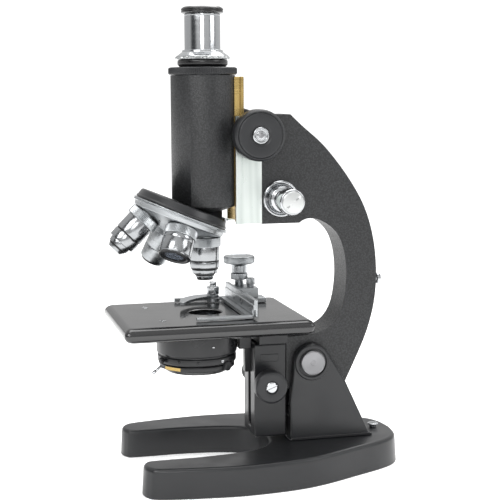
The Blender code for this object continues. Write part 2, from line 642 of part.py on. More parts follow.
# Draw tube and eyepiece
DRAW = empty("draw_tube_slide", (0, 0, 0), TUBE)
piece("draw_tube",
      turned([(DRAW_RADIUS - DRAW_WALL, DRAW_BOTTOM), (DRAW_RADIUS, DRAW_BOTTOM), (DRAW_RADIUS, DRAW_TOP),
              (DRAW_RADIUS - DRAW_WALL, DRAW_TOP)]),
      CHROME, at=-LIMB_ORIGIN, parent=DRAW)
EYEPIECE = empty("eyepiece", (0, 0, 0), DRAW)
CAP_BOTTOM = DRAW_TOP + GAP
EYE_TOP = CAP_BOTTOM + EYECAP_HEIGHT
BARREL_BORE = EYEPIECE_RADIUS - EYEPIECE_WALL
BARREL_BOTTOM = DRAW_TOP - EYEPIECE_LENGTH
piece("eyepiece_body",
      turned([(BARREL_BORE, BARREL_BOTTOM), (EYEPIECE_RADIUS, BARREL_BOTTOM),
              (EYEPIECE_RADIUS, CAP_BOTTOM),
              (EYECAP_RADIUS - 0.5, CAP_BOTTOM), (EYECAP_RADIUS, CAP_BOTTOM + 0.6),
              (EYECAP_RADIUS, CAP_BOTTOM + 2.9), (EYECAP_RADIUS - 1.6, EYE_TOP),
              (EYE_OPENING + 2, EYE_TOP),
              (EYE_OPENING, EYE_TOP - 1.2), (EYE_OPENING, EYE_TOP - 2.4), (BARREL_BORE, EYE_TOP - 2.4)]),
      PLASTIC, at=-LIMB_ORIGIN, parent=EYEPIECE)
LENS_RADIUS = BARREL_BORE - 0.2
for lens, low in (("eye_lens", EYE_TOP - 2.4 - GAP - 3), ("field_lens", BARREL_BOTTOM + 2)):
    piece(lens,
          turned([(0, low), (LENS_RADIUS, low), (LENS_RADIUS, low + 1.6), (0.6 * LENS_RADIUS, low + 2.6),
                  (0, low + 3)]),
          GLASS, at=-LIMB_ORIGIN, parent=EYEPIECE)

# ---------------------------------------------------------------- nosepiece
RIM_BOTTOM = RIM_DISTANCE + RIM_THICKNESS / 2
RIM_TOP = RIM_DISTANCE - RIM_THICKNESS / 2
PLATE_BOTTOM = RIM_TOP - GAP
SEAT_RADIUS = SEAT_DISTANCE * math.sin(NOSE_TILT)
SEAT_DEPTH = SEAT_DISTANCE * math.cos(NOSE_TILT)
CONE_SLOPE = math.tan(NOSE_TILT)


def turret_under(radius):
    """How far below the apex the turret's underside lies: square to every objective's axis."""
    return SEAT_DEPTH - (radius - SEAT_RADIUS) * CONE_SLOPE


nose_plate = piece(
    "nosepiece_plate",
    turned([(0, nose_height(PLATE_BOTTOM)), (PLATE_FLARE, nose_height(PLATE_BOTTOM)),
            (PLATE_FLARE, nose_height(PLATE_BOTTOM - 1.2)),
            (PLATE_RADIUS, nose_height(PLATE_TOP_DISTANCE)),
            (0, nose_height(PLATE_TOP_DISTANCE))]),
    ENAMEL, at=on_limb(APEX), along=NOSE_UP, parent=TUBE)
combine(nose_plate, "nose_neck", rod(TUBE_FOOT_RADIUS - 0.6, 172, TUBE_BOTTOM - GAP), "UNION")
combine(nose_plate, "nose_neck_trim",
        rod(PLATE_RADIUS + 10, nose_height(PLATE_BOTTOM + 40), nose_height(PLATE_BOTTOM)),
        at=APEX, along=NOSE_UP)
combine(nose_plate, "nose_light_cutter", rod(LIGHT_BORE - 1, 100, 250))
combine(nose_plate, "nose_pivot_cutter",
        rod(PIVOT_SHANK_RADIUS + RUN, nose_height(PLATE_BOTTOM + 5),
            nose_height(PLATE_TOP_DISTANCE + 1.6)),
        at=APEX, along=NOSE_UP)

TURRET = empty("nosepiece_turret_axis", on_limb(APEX), TUBE)
TURRET.rotation_euler = (0, NOSE_TILT, 0)
HUB_RADIUS = PIVOT_SCREW_RADIUS + 1.2
turret = piece(
    "nosepiece_turret",
    turned([(PIVOT_SHANK_RADIUS + RUN, nose_height(RIM_TOP)), (RIM_RADIUS - 0.4, nose_height(RIM_TOP)),
            (RIM_RADIUS, nose_height(RIM_TOP + 0.5)), (RIM_RADIUS, nose_height(RIM_BOTTOM - 0.5)),
            (RIM_RADIUS - 1.6, nose_height(RIM_BOTTOM)),
            (RIM_RADIUS - 2.2, nose_height(turret_under(RIM_RADIUS - 2.2))),
            (HUB_RADIUS, nose_height(turret_under(HUB_RADIUS))),
            (HUB_RADIUS, nose_height(turret_under(HUB_RADIUS) - 4)),
            (PIVOT_SHANK_RADIUS + RUN, nose_height(turret_under(HUB_RADIUS) - 4))]),
    SATIN, parent=TURRET)
screw_head = turret_under(HUB_RADIUS) - 4 + GAP
piece("nosepiece_pivot",
      turned([(0, nose_height(screw_head + 3)), (PIVOT_SCREW_RADIUS - 0.6, nose_height(screw_head + 3)),
              (PIVOT_SCREW_RADIUS, nose_height(screw_head + 2.4)),
              (PIVOT_SCREW_RADIUS, nose_height(screw_head)),
              (PIVOT_SHANK_RADIUS, nose_height(screw_head)),
              (PIVOT_SHANK_RADIUS, nose_height(PLATE_TOP_DISTANCE + 2)),
              (0, nose_height(PLATE_TOP_DISTANCE + 2))]),
      STEEL, at=on_limb(APEX), along=NOSE_UP, parent=TUBE)

RING_END = SEAT_DISTANCE + GAP + OBJECTIVE_RING_HEIGHT


def objective_profile(steps, bore):
    """An objective hung below its seat: knurled ring, then (radius, length) steps, then a front opening."""
    top = SEAT_DISTANCE + GAP
    radius = OBJECTIVE_RING_RADIUS
    points = [(0, -top - 3), (LIGHT_BORE - 2, -top - 3), (LIGHT_BORE - 2, -top), (radius, -top),
              (radius, -RING_END)]
    depth = RING_END
    for radius, length in steps:
        points.append((radius, -depth))
        depth += length
        points.append((radius, -depth))
    points += [(bore, -depth), (bore, -depth + 1.2), (0, -depth + 1.2)]
    return points


OBJECTIVES = {
    "objective_high": (0, [(10.6, 17.3), (9.2, 2.2), (6.8, 4.4)], 4.2),
    "objective_low": (270, [(11.2, 12.8), (11.6, 2.0)], 9.6),
    "objective_oil": (180, [(10.0, 20.2), (7.8, 3.2), (6.4, 3.4)], 3.8),
    "objective_medium": (90, [(9.8, 24.0), (8.2, 1.8)], 5.4),
}
for name, (place, steps, bore) in OBJECTIVES.items():
    spot = math.radians(place)
    # The high power stands on the tube's axis, on the rear side of the tilted turret.
    side = Vector((math.sin(NOSE_TILT) * math.cos(spot), math.sin(NOSE_TILT) * math.sin(spot),
                   math.cos(NOSE_TILT)))
    reach = Vector((-side.x, -side.y, side.z))
    shape = turned(objective_profile(steps, bore))
    piece(name, shape, CHROME if name != "objective_medium" else SATIN, along=tuple(reach), parent=TURRET)

# ---------------------------------------------------------------- substage
substage_guide = piece("substage_guide",
                       block((GUIDE_FRONT, -GUIDE_HALF_WIDTH, GUIDE_BOTTOM),
                             (ARM_FRONT - GAP, GUIDE_HALF_WIDTH, GUIDE_TOP)),
                       ENAMEL, at=-LIMB_ORIGIN, parent=LIMB)
soften(substage_guide, 1.4, 2)
combine(substage_guide, "guide_slot_cutter",
        block((GUIDE_FRONT - 5, -GUIDE_SLOT_HALF_WIDTH, GUIDE_SLOT_BOTTOM),
              (SUBSTAGE_X + SUBSTAGE_PINION + 2 * RUN, GUIDE_SLOT_HALF_WIDTH, GUIDE_TOP + 5)))
combine(substage_guide, "substage_shaft_cutter", rod(SUBSTAGE_SHAFT + RUN, -40, 40),
        at=(SUBSTAGE_X, 0, SUBSTAGE_Z), along=NEAR)

SUBSTAGE_KNOB = empty("substage_knob", on_limb((SUBSTAGE_X, 0, SUBSTAGE_Z)), LIMB)
KNOB_SOCKET = 5.0
sub_in = SUBSTAGE_FACE - SUBSTAGE_KNOB_THICKNESS
piece("substage_pinion",
      turned([(0, -(CLAMP_KNOB_FACE - 2)), (SUBSTAGE_SHAFT, -(CLAMP_KNOB_FACE - 2)),
              (SUBSTAGE_SHAFT, -GUIDE_SLOT_HALF_WIDTH + GAP),
              (SUBSTAGE_PINION, -GUIDE_SLOT_HALF_WIDTH + GAP),
              (SUBSTAGE_PINION, GUIDE_SLOT_HALF_WIDTH - GAP),
              (SUBSTAGE_SHAFT, GUIDE_SLOT_HALF_WIDTH - GAP), (SUBSTAGE_SHAFT, sub_in + KNOB_SOCKET),
              (0, sub_in + KNOB_SOCKET)]),
      STEEL, along=NEAR, parent=SUBSTAGE_KNOB)
hub_face = GUIDE_HALF_WIDTH + 1
piece("substage_knob_near",
      turned([(0, sub_in + KNOB_SOCKET + GAP), (SUBSTAGE_SHAFT + RUN, sub_in + KNOB_SOCKET + GAP),
              (SUBSTAGE_SHAFT + RUN, hub_face), (SUBSTAGE_SHAFT + 3, hub_face),
              (SUBSTAGE_SHAFT + 3, sub_in),
              (SUBSTAGE_KNOB_RADIUS - 0.8, sub_in), (SUBSTAGE_KNOB_RADIUS, sub_in + 0.8),
              (SUBSTAGE_KNOB_RADIUS, SUBSTAGE_FACE - 1.2), (SUBSTAGE_KNOB_RADIUS - 1.2, SUBSTAGE_FACE),
              (0, SUBSTAGE_FACE)]),
      PLASTIC, along=NEAR, parent=SUBSTAGE_KNOB)
piece("substage_knob_far",
      turned([(0, CLAMP_KNOB_FACE - 2 + GAP), (SUBSTAGE_SHAFT + RUN, CLAMP_KNOB_FACE - 2 + GAP),
              (SUBSTAGE_SHAFT + RUN, hub_face), (CLAMP_KNOB_RADIUS - 0.8, hub_face),
              (CLAMP_KNOB_RADIUS, hub_face + 0.8), (CLAMP_KNOB_RADIUS, CLAMP_KNOB_FACE - 0.8),
              (CLAMP_KNOB_RADIUS - 0.8, CLAMP_KNOB_FACE), (0, CLAMP_KNOB_FACE)]),
      PLASTIC, along=FAR, parent=SUBSTAGE_KNOB)

CONDENSER = empty("condenser_focus", (0, 0, 0), LIMB)
CARRIER_TOP = CONDENSER_TOP - 1
CARRIER_BOTTOM = CONDENSER_RING_BOTTOM + 1
carrier = piece("condenser_carrier",
                block((CONDENSER_X + CONDENSER_RADIUS + 0.4, -9, CARRIER_BOTTOM),
                      (GUIDE_FRONT - 2 * GAP, 9, CARRIER_TOP)),
                ENAMEL, at=-LIMB_ORIGIN, parent=CONDENSER)
combine(carrier, "carrier_slide",
        block((GUIDE_FRONT - 4, -GUIDE_SLOT_HALF_WIDTH + GAP, SUBSTAGE_Z + 5),
              (SUBSTAGE_X - SUBSTAGE_PINION - GAP, GUIDE_SLOT_HALF_WIDTH - GAP, GUIDE_TOP - 1)), "UNION")
combine(carrier, "carrier_round_cutter",
        rod(CONDENSER_RADIUS + GAP, 50, 150), at=(CONDENSER_X, 0, 0))

piece("condenser_body",
      turned([(CONDENSER_BORE, CONDENSER_BOTTOM), (CONDENSER_BOWL_RADIUS, CONDENSER_BOTTOM),
              (CONDENSER_RADIUS - 3.4, IRIS_Z - 2.0), (CONDENSER_RADIUS - 3.4, IRIS_Z + 2.0),
              (CONDENSER_RADIUS - 0.6, CONDENSER_RING_BOTTOM - 2.4),
              (CONDENSER_RADIUS - 0.6, CONDENSER_RING_BOTTOM - 0.6),
              (CONDENSER_RADIUS - 1.4, CONDENSER_RING_BOTTOM - 0.6),
              (CONDENSER_RADIUS - 1.4, CONDENSER_RING_BOTTOM),
              (CONDENSER_RADIUS, CONDENSER_RING_BOTTOM + 0.4), (CONDENSER_RADIUS, CONDENSER_TOP - 0.8),
              (CONDENSER_RADIUS - 0.8, CONDENSER_TOP), (CONDENSER_BORE, CONDENSER_TOP)]),
      ENAMEL, at=on_limb((CONDENSER_X, 0, 0)), parent=CONDENSER)
LENS_R = CONDENSER_BORE - GAP
piece("condenser_lens",
      turned([(0, CONDENSER_TOP - 12), (LENS_R, CONDENSER_TOP - 12), (LENS_R, CONDENSER_TOP - 6),
              (0.7 * LENS_R, CONDENSER_TOP - 2.5), (0, CONDENSER_TOP - 1.5)]),
      GLASS, at=on_limb((CONDENSER_X, 0, 0)), parent=CONDENSER)

# ---------------------------------------------------------------- mechanical stage
CROSS_BOTTOM = STAGE_TOP + CROSS_LIFT
RAIL_TOP = STAGE_TOP + RAIL_HEIGHT
RAIL_FRONT = PLATE_X + PLATE_THICKNESS + RAIL_SETBACK
piece("stage_rail",
      block((RAIL_FRONT, BRIDGE_NEAR, STAGE_TOP + GAP),
            (RAIL_FRONT + RAIL_LENGTH, BRIDGE_FAR - RAIL_STEP, RAIL_TOP)),
      SATIN, at=-LIMB_ORIGIN, parent=LIMB)

CROSS = empty("cross_slide", (0, 0, 0), LIMB)
cross = piece("cross_plate",
              block((PLATE_X, PLATE_NEAR, CROSS_BOTTOM),
                    (PLATE_X + PLATE_THICKNESS, PLATE_FAR, CROSS_BOTTOM + PLATE_HEIGHT)),
              SATIN, at=-LIMB_ORIGIN, parent=CROSS)
COLUMN_BASE = RAIL_TOP + GAP
BRIDGE_TOP = COLUMN_BASE + BRIDGE_HEIGHT
combine(cross, "column_bridge",
        block((PLATE_X + 1, BRIDGE_NEAR, COLUMN_BASE), (BRIDGE_REAR, BRIDGE_FAR, BRIDGE_TOP)), "UNION")
piece("bridge_screw",
      turned([(0, BRIDGE_TOP + GAP), (CLAMP_SCREW_RADIUS, BRIDGE_TOP + GAP),
              (CLAMP_SCREW_RADIUS, BRIDGE_TOP + 6.4),
              (CLAMP_SCREW_RADIUS - 0.6, BRIDGE_TOP + 7), (0, BRIDGE_TOP + 7)]),
      SATIN, at=on_limb((CLAMP_SCREW_X, CLAMP_SCREW_Y, 0)), parent=CROSS)
combine(cross, "column_hole_cutter", rod(KNOB_COLUMN_RADIUS + RUN, COLUMN_BASE + 4, 200),
        at=(KNOB_COLUMN_X, KNOB_COLUMN_Y, 0))
X_KNOB = empty("x_knob", on_limb((KNOB_COLUMN_X, KNOB_COLUMN_Y, 0)), CROSS)
Y_KNOB = empty("y_knob", on_limb((KNOB_COLUMN_X, KNOB_COLUMN_Y, 0)), CROSS)
LOWER_KNOB = CROSS_BOTTOM + PLATE_HEIGHT + 3.2
UPPER_KNOB = LOWER_KNOB + 4.9
SPINDLE = 1.6
piece("x_knob_lower",
      turned([(SPINDLE + RUN, COLUMN_BASE + 4 + GAP), (KNOB_COLUMN_RADIUS, COLUMN_BASE + 4 + GAP),
              (KNOB_COLUMN_RADIUS, LOWER_KNOB), (6.4, LOWER_KNOB), (6.4, LOWER_KNOB + 4.6),
              (SPINDLE + RUN, LOWER_KNOB + 4.6)]),
      SATIN, parent=X_KNOB)
piece("y_knob_upper",
      turned([(0, COLUMN_BASE + 4 + 2 * GAP), (SPINDLE, COLUMN_BASE + 4 + 2 * GAP), (SPINDLE, UPPER_KNOB),
              (5.8, UPPER_KNOB), (5.8, UPPER_KNOB + 5.4), (10.6, UPPER_KNOB + 7),
              (11.6, UPPER_KNOB + 7.6),
              (11.6, UPPER_KNOB + 12), (10.8, UPPER_KNOB + 12.8), (0, UPPER_KNOB + 12.8)]),
      SATIN, parent=Y_KNOB)

HOLDER = empty("slide_holder", (0, 0, 0), CROSS)
HOLDER_BACK = PLATE_X - GAP
HOLDER_LOW = STAGE_TOP + 0.6
HOLDER_TOP = HOLDER_LOW + HOLDER_THICKNESS
holder_near = PLATE_NEAR + 1
holder_far = holder_near + HOLDER_ARM_WIDTH + SLIDE_LENGTH
POST_Y = holder_far - POST_INSET
holder = piece("slide_holder_frame",
               block((HOLDER_BACK - HOLDER_ARM_WIDTH, holder_near, HOLDER_LOW),
                     (HOLDER_BACK, holder_far + HOLDER_ARM_WIDTH, HOLDER_TOP)),
               SATIN, at=-LIMB_ORIGIN, parent=HOLDER)
for end, start in (("near", holder_near), ("far", holder_far)):
    combine(holder, f"holder_{end}_arm",
            block((HOLDER_BACK - HOLDER_REACH, start, HOLDER_LOW + 0.1),
                  (HOLDER_BACK - 1, start + HOLDER_ARM_WIDTH, HOLDER_TOP - 0.1)), "UNION")
combine(holder, "holder_lug",
        rod(POST_RADIUS, HOLDER_LOW + 0.15, HOLDER_TOP - 0.15), "UNION", at=(POST_X, POST_Y, 0))
FINGER = empty("spring_finger", on_limb((POST_X, POST_Y, 0)), HOLDER)
piece("finger_post",
      turned([(0, HOLDER_TOP + GAP), (1.6, HOLDER_TOP + GAP), (1.6, HOLDER_TOP + 3.2),
              (POST_RADIUS, HOLDER_TOP + 3.2),
              (POST_RADIUS, HOLDER_TOP + POST_HEIGHT), (2.8, HOLDER_TOP + POST_HEIGHT + 0.6),
              (2.8, HOLDER_TOP + POST_HEIGHT + 3.6), (0, HOLDER_TOP + POST_HEIGHT + 3.6)]),
      SATIN, at=on_limb((POST_X, POST_Y, 0)), parent=HOLDER)


def crescent():
    """The finger's plan: an eye round the post and a curved blade that hooks forward and near."""
    outer = curve([(-3, 4.6), (-15, 1.5), (-26, -10), (-30.5, -27)], 3)
    inner = curve([(-27.6, -29), (-21, -18), (-11, -9), (-2, -4.4)], 3)
    eye = arc((0, 0), 4.4, -105, 105, 7)
    return outer + inner + eye


finger = piece("spring_finger_blade",
               prism(crescent(), HOLDER_TOP + 0.6, HOLDER_TOP + 2.6, across="Z"), SATIN, parent=FINGER)
combine(finger, "finger_eye_cutter", rod(1.6 + RUN, 0, 400), at=(POST_X, POST_Y, 0))

# ---------------------------------------------------------------- iris
IRIS = empty("iris", on_limb((CONDENSER_X, 0, 0)), CONDENSER)
iris_inner = CONDENSER_RADIUS - 3.4 + GAP
iris = piece("iris_ring",
             turned([(iris_inner, IRIS_Z - IRIS_HEIGHT / 2), (iris_inner + 1.4, IRIS_Z - IRIS_HEIGHT / 2),
                     (iris_inner + 1.4, IRIS_Z + IRIS_HEIGHT / 2),
                     (iris_inner, IRIS_Z + IRIS_HEIGHT / 2)]),
             BRASS, parent=IRIS)
lever_way = Vector((-0.8, -0.1, -0.6)).normalized()
combine(iris, "iris_lever", rod(1.0, 0, 9), "UNION",
        at=(CONDENSER_X - iris_inner - 0.6, -3, IRIS_Z - 0.2), along=tuple(lever_way))

# ---------------------------------------------------------------- origin at the bottom centre of the box
bpy.context.view_layer.update()
graph = bpy.context.evaluated_depsgraph_get()
points = []
for made in bpy.context.scene.objects:
    if made.type == "MESH" and not made.hide_render:
        shape = made.evaluated_get(graph)
        points += [shape.matrix_world @ vertex.co for vertex in shape.data.vertices]
low, high = (Vector([pick(point[axis] for point in points) for axis in range(3)]) for pick in (min, max))
ROOT.location = (-(low.x + high.x) / 2, -(low.y + high.y) / 2, -low.z)
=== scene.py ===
"""An upright brass-and-steel microscope on a horseshoe base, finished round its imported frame.

Lengths are in millimetres, turned to metres where a mesh is made. Places are measured from the
optical axis (X and Y) and the bench (Z), which the frame gives.
"""

import math

import bmesh
import bpy
from mathutils import Matrix, Vector


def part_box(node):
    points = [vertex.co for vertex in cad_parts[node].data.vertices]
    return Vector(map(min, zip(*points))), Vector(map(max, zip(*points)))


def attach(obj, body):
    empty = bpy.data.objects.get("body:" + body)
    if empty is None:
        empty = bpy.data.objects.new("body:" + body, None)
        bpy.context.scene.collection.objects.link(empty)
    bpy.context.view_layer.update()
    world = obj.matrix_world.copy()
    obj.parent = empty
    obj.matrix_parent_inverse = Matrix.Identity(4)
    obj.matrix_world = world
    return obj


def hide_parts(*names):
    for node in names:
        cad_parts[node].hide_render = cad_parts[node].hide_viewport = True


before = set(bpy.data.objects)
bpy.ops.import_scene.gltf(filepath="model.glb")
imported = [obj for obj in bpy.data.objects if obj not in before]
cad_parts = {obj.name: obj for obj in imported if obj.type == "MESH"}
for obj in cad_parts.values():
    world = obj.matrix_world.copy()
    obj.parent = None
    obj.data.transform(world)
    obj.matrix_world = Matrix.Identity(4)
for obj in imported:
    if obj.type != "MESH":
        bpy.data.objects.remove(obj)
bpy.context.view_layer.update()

# ---------------------------------------------------------------- bench, light and camera
# A white sweep: a pale matt bench under a bright even sky. Two darker strips in the sky stand for the
# flags that a photographer sets beside polished metal, so that round chrome shows dark bands.
MM = 0.001


def tint(code):
    """The linear colour of an sRGB hex code."""
    shares = [int(code[place:place + 2], 16) / 255 for place in (1, 3, 5)]
    linear = [share / 12.92 if share <= 0.04045 else ((share + 0.055) / 1.055) ** 2.4
              for share in shares]
    return (*linear, 1)


def add(tree, kind, inputs=None, **settings):
    """Adds one node: its settings, then its inputs, each a value or the output that feeds it."""
    made = tree.nodes.new("ShaderNode" + kind)
    for name, value in settings.items():
        setattr(made, name, value)
    for name, value in (inputs or {}).items():
        if isinstance(value, bpy.types.NodeSocket):
            tree.links.new(value, made.inputs[name])
        else:
            made.inputs[name].default_value = value
    return made


def stops(ramp, *marks):
    """Sets a colour ramp's stops from (place, hex colour) marks."""
    elements = ramp.color_ramp.elements
    while len(elements) < len(marks):
        elements.new(0.5)
    for element, (place, code) in zip(elements, marks):
        element.position = place
        element.color = tint(code)
    return ramp.outputs["Color"]


BENCH_HALF = 6.0  # metres
bench_mesh = bpy.data.meshes.new("bench")
bench_mesh.from_pydata([(-BENCH_HALF, -BENCH_HALF, 0), (BENCH_HALF, -BENCH_HALF, 0),
                        (BENCH_HALF, BENCH_HALF, 0), (-BENCH_HALF, BENCH_HALF, 0)], [], [(0, 1, 2, 3)])
bench = bpy.data.objects.new("bench", bench_mesh)
bpy.context.scene.collection.objects.link(bench)

# Matt white paper, lit well past the object: it glows a little, so only the contact shadow shows.
bench_paper = bpy.data.materials.new("matt_white_paper")
bench_paper.use_nodes = True
bench_surface = bench_paper.node_tree.nodes["Principled BSDF"]
bench_surface.inputs["Base Color"].default_value = tint("#fafafa")
bench_surface.inputs["Roughness"].default_value = 0.7
bench_surface.inputs["Specular IOR Level"].default_value = 0.1
bench_surface.inputs["Emission Color"].default_value = tint("#ffffff")
bench_surface.inputs["Emission Strength"].default_value = 0.42
bench_mesh.materials.append(bench_paper)

sky = bpy.data.worlds.new("white_sweep")
sky.use_nodes = True
sky_tree = sky.node_tree
sky_tree.nodes.clear()
sky_way = add(sky_tree, "SeparateXYZ", {0: add(sky_tree, "TexCoord").outputs["Generated"]})
sky_turn = add(sky_tree, "Math", {0: sky_way.outputs["X"], 1: sky_way.outputs["Y"]},
               operation="ARCTAN2")
sky_round = add(sky_tree, "MapRange",
                {"Value": sky_turn.outputs[0], "From Min": -math.pi, "From Max": math.pi})
flags = stops(add(sky_tree, "ValToRGB", {0: sky_round.outputs[0]}), (0.0, "#ffffff"), (0.12, "#f0f0f0"),
              (0.17, "#626365"), (0.225, "#58595b"), (0.27, "#e4e4e4"), (0.58, "#f4f4f4"),
              (0.66, "#ffffff"), (0.77, "#f4f4f4"), (0.81, "#5c5d5f"), (0.87, "#66676a"),
              (0.92, "#f4f4f4"))
sky_height = stops(add(sky_tree, "ValToRGB", {0: sky_way.outputs["Z"]}), (0.0, "#dcdcdc"),
                   (0.35, "#f2f2f2"), (0.7, "#ffffff"))
sky_mix = add(sky_tree, "Mix", {0: 1.0, 6: flags, 7: sky_height}, data_type="RGBA",
              blend_type="MULTIPLY")
sky_light = add(sky_tree, "Background", {"Color": sky_mix.outputs[2], "Strength": 1.0})
sky_white = add(sky_tree, "Background", {"Color": tint("#ffffff"), "Strength": 1.2})
sky_seen = add(sky_tree, "MixShader",
               {0: add(sky_tree, "LightPath").outputs["Is Camera Ray"], 1: sky_light.outputs[0],
                2: sky_white.outputs[0]})
add(sky_tree, "OutputWorld", {"Surface": sky_seen.outputs[0]})
bpy.context.scene.world = sky


def soft_box(name, place, size, power):
    """A square lamp above the bench, facing the microscope's middle."""
    lamp = bpy.data.lights.new(name, "AREA")
    lamp.shape = "SQUARE"
    lamp.size = size
    lamp.energy = power
    held = bpy.data.objects.new(name, lamp)
    bpy.context.scene.collection.objects.link(held)
    held.location = place
    middle = Vector((0, 0, 0.16))
    held.rotation_euler = (middle - held.location).to_track_quat("-Z", "Y").to_euler()


# Four lamps wrap the enamel in soft light, and a small one in front draws a sheen down the tube.
soft_box("left_key", (-1.1, -1.0, 1.25), 0.9, 13)
soft_box("right_fill", (1.3, -0.9, 0.9), 0.8, 7)
soft_box("top_wash", (0.1, 0.3, 1.7), 1.3, 16)
soft_box("back_rim", (0.9, 1.2, 1.9), 0.8, 9)
soft_box("front_wash", (-0.42, -1.6, 0.75), 0.5, 4)


def corners(node):
    """A node's lowest and highest corners, in millimetres."""
    return [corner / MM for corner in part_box(node)]


tube_low, tube_high = corners("body_tube")
AXIS_X = (tube_low.x + tube_high.x) / 2


def spot(x, y, z):
    """A place in the frame, from millimetres off the optical axis and the bench."""
    return Vector((AXIS_X + x, y, z)) * MM


VIEW_PLACE = (-182.98, -845.08, 271.42)
VIEW_TURN = math.radians(14.36)
VIEW_DOWN = math.radians(7.41)
VIEW_LEAN = math.radians(-0.289)
lens = bpy.data.cameras.new("view")
lens.lens = 88.45
lens.sensor_width = 36
lens.clip_end = 30
view = bpy.data.objects.new("view", lens)
bpy.context.scene.collection.objects.link(view)
view.rotation_euler = (math.pi / 2 - VIEW_DOWN, 0, -VIEW_TURN)
view.matrix_world = (Matrix.Translation(spot(*VIEW_PLACE)) @ view.rotation_euler.to_matrix().to_4x4()
                     @ Matrix.Rotation(VIEW_LEAN, 4, "Z"))
bpy.context.scene.camera = view
bpy.context.scene.view_settings.view_transform = "Standard"

# ---------------------------------------------------------------- horseshoe base
# One heavy iron casting with two long prongs and a round heel. Its sides draw in a little, its top
# edge is rounded, and it is stoved in smooth black enamel.


def scale_for(size):
    """A texture scale that gives features of this size in millimetres."""
    return 1 / (size * MM)


def coated(name, code, roughness, grain, lift, gloss=0.5, uneven=0.06):
    """A sprayed and stoved coat: fine orange peel of this grain, with patches a little duller."""
    made = bpy.data.materials.new(name)
    made.use_nodes = True
    tree = made.node_tree
    surface = tree.nodes["Principled BSDF"]
    where = add(tree, "TexCoord").outputs["Object"]
    peel = add(tree, "TexNoise", {"Vector": where, "Scale": scale_for(grain), "Detail": 3.0})
    cloud = add(tree, "TexNoise", {"Vector": where, "Scale": scale_for(26), "Detail": 2.0})
    dull = add(tree, "MapRange",
               {"Value": cloud.outputs["Fac"], "From Min": 0.35, "From Max": 0.65,
                "To Min": roughness - uneven, "To Max": roughness + uneven})
    tree.links.new(dull.outputs[0], surface.inputs["Roughness"])
    relief = add(tree, "Bump", {"Height": peel.outputs["Fac"], "Strength": 0.35, "Distance": lift * MM})
    tree.links.new(relief.outputs[0], surface.inputs["Normal"])
    surface.inputs["Base Color"].default_value = tint(code)
    surface.inputs["Specular IOR Level"].default_value = gloss
    return made


# Stoved enamel over filled iron: near black, a soft satin that spreads each lamp into a wide glow.
stoved_enamel = coated("stoved_black_enamel", "#1d1e20", 0.36, 1.6, 0.03)


def shell(name, points, faces, material):
    """An object from points in millimetres, smooth but for its sharp edges."""
    mesh = bpy.data.meshes.new(name)
    mesh.from_pydata([Vector(point) * MM for point in points], [], faces)
    tidy = bmesh.new()
    tidy.from_mesh(mesh)
    bmesh.ops.recalc_face_normals(tidy, faces=tidy.faces)
    tidy.to_mesh(mesh)
    tidy.free()
    mesh.shade_smooth()
    mesh.set_sharp_from_angle(angle=math.radians(38))
    mesh.materials.append(material)
    made = bpy.data.objects.new(name, mesh)
    bpy.context.scene.collection.objects.link(made)
    return made


def side_quads(count, levels):
    """Quads all the way round between neighbouring rings of count points."""
    faces = []
    for level in range(levels - 1):
        for step in range(count):
            after = (step + 1) % count
            faces.append((count * level + step, count * level + after, count * (level + 1) + after,
                          count * (level + 1) + step))
    return faces


def stacked(name, rings, material):
    """A solid from rings of points, each ring as long as the first, closed at both ends."""
    count = len(rings[0])
    points = [point for ring in rings for point in ring]
    faces = [list(range(count)), [count * (len(rings) - 1) + step for step in reversed(range(count))]]
    return shell(name, points, faces + side_quads(count, len(rings)), material)


def flowing(points, steps):
    """A smooth open curve through the points, with steps pieces between each pair."""
    ends = [points[0], *points, points[-1]]
    made = []
    for before, start, stop, after in zip(ends, ends[1:], ends[2:], ends[3:]):
        for step in range(steps):
            t = step / steps
            made.append(tuple(0.5 * (2 * s + (e - b) * t + (2 * b - 5 * s + 4 * e - a) * t**2
                                     + (3 * s - b - 3 * e + a) * t**3) for b, s, e,
                              a in zip(before, start, stop, after)))
    return [*made, tuple(points[-1])]


def settled(made):
    """Turns the modifiers so far into the object's own mesh."""
    graph = bpy.context.evaluated_depsgraph_get()
    mesh = bpy.data.meshes.new_from_object(made.evaluated_get(graph))
    made.modifiers.clear()
    made.data = mesh
    return made


def joined(made, *tools, how="DIFFERENCE"):
    """Cuts the tools from an object, or with how="UNION" grows them onto it, and removes them."""
    for tool in tools:
        change = made.modifiers.new("join", "BOOLEAN")
        change.operation = how
        change.object = tool
    bpy.context.view_layer.update()
    settled(made)
    for tool in tools:
        bpy.data.objects.remove(tool)
    return made


def evened(made):
    """Keeps an object's flat faces evenly lit beside its rounded edges."""
    even = made.modifiers.new("even_light", "WEIGHTED_NORMAL")
    even.keep_sharp = True
    return made


def eased(made, width, segments=3, angle=32):
    """Rounds an object's edges, where its faces meet at more than an angle in degrees."""
    bevel = made.modifiers.new("eased_edges", "BEVEL")
    bevel.width = width * MM
    bevel.segments = segments
    bevel.limit_method = "ANGLE"
    bevel.angle_limit = math.radians(angle)
    bevel.use_clamp_overlap = True
    return evened(made)


def fitted(made, body, slot, *nodes):
    """Hangs a piece on its body and lets it stand for its CAD nodes. The slot argument is not used."""
    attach(made, body)
    if nodes:
        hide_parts(*nodes)
    return made


BASE_TOP = corners("base")[1].z
BASE_DRAFT = 1.0
BASE_ROUND = 2.8
HALF_PLAN = [(141.2, 0), (138.2, 18), (128, 31.5), (101.5, 45.5), (60, 63.5), (17.7, 69), (-14.5, 66.9),
             (-44, 62), (-51.6, 57), (-54, 49.5), (-52, 41.5), (-45, 38.4), (-13, 38.2), (15, 34.8),
             (33, 28), (42.5, 15), (45.5, 0)]


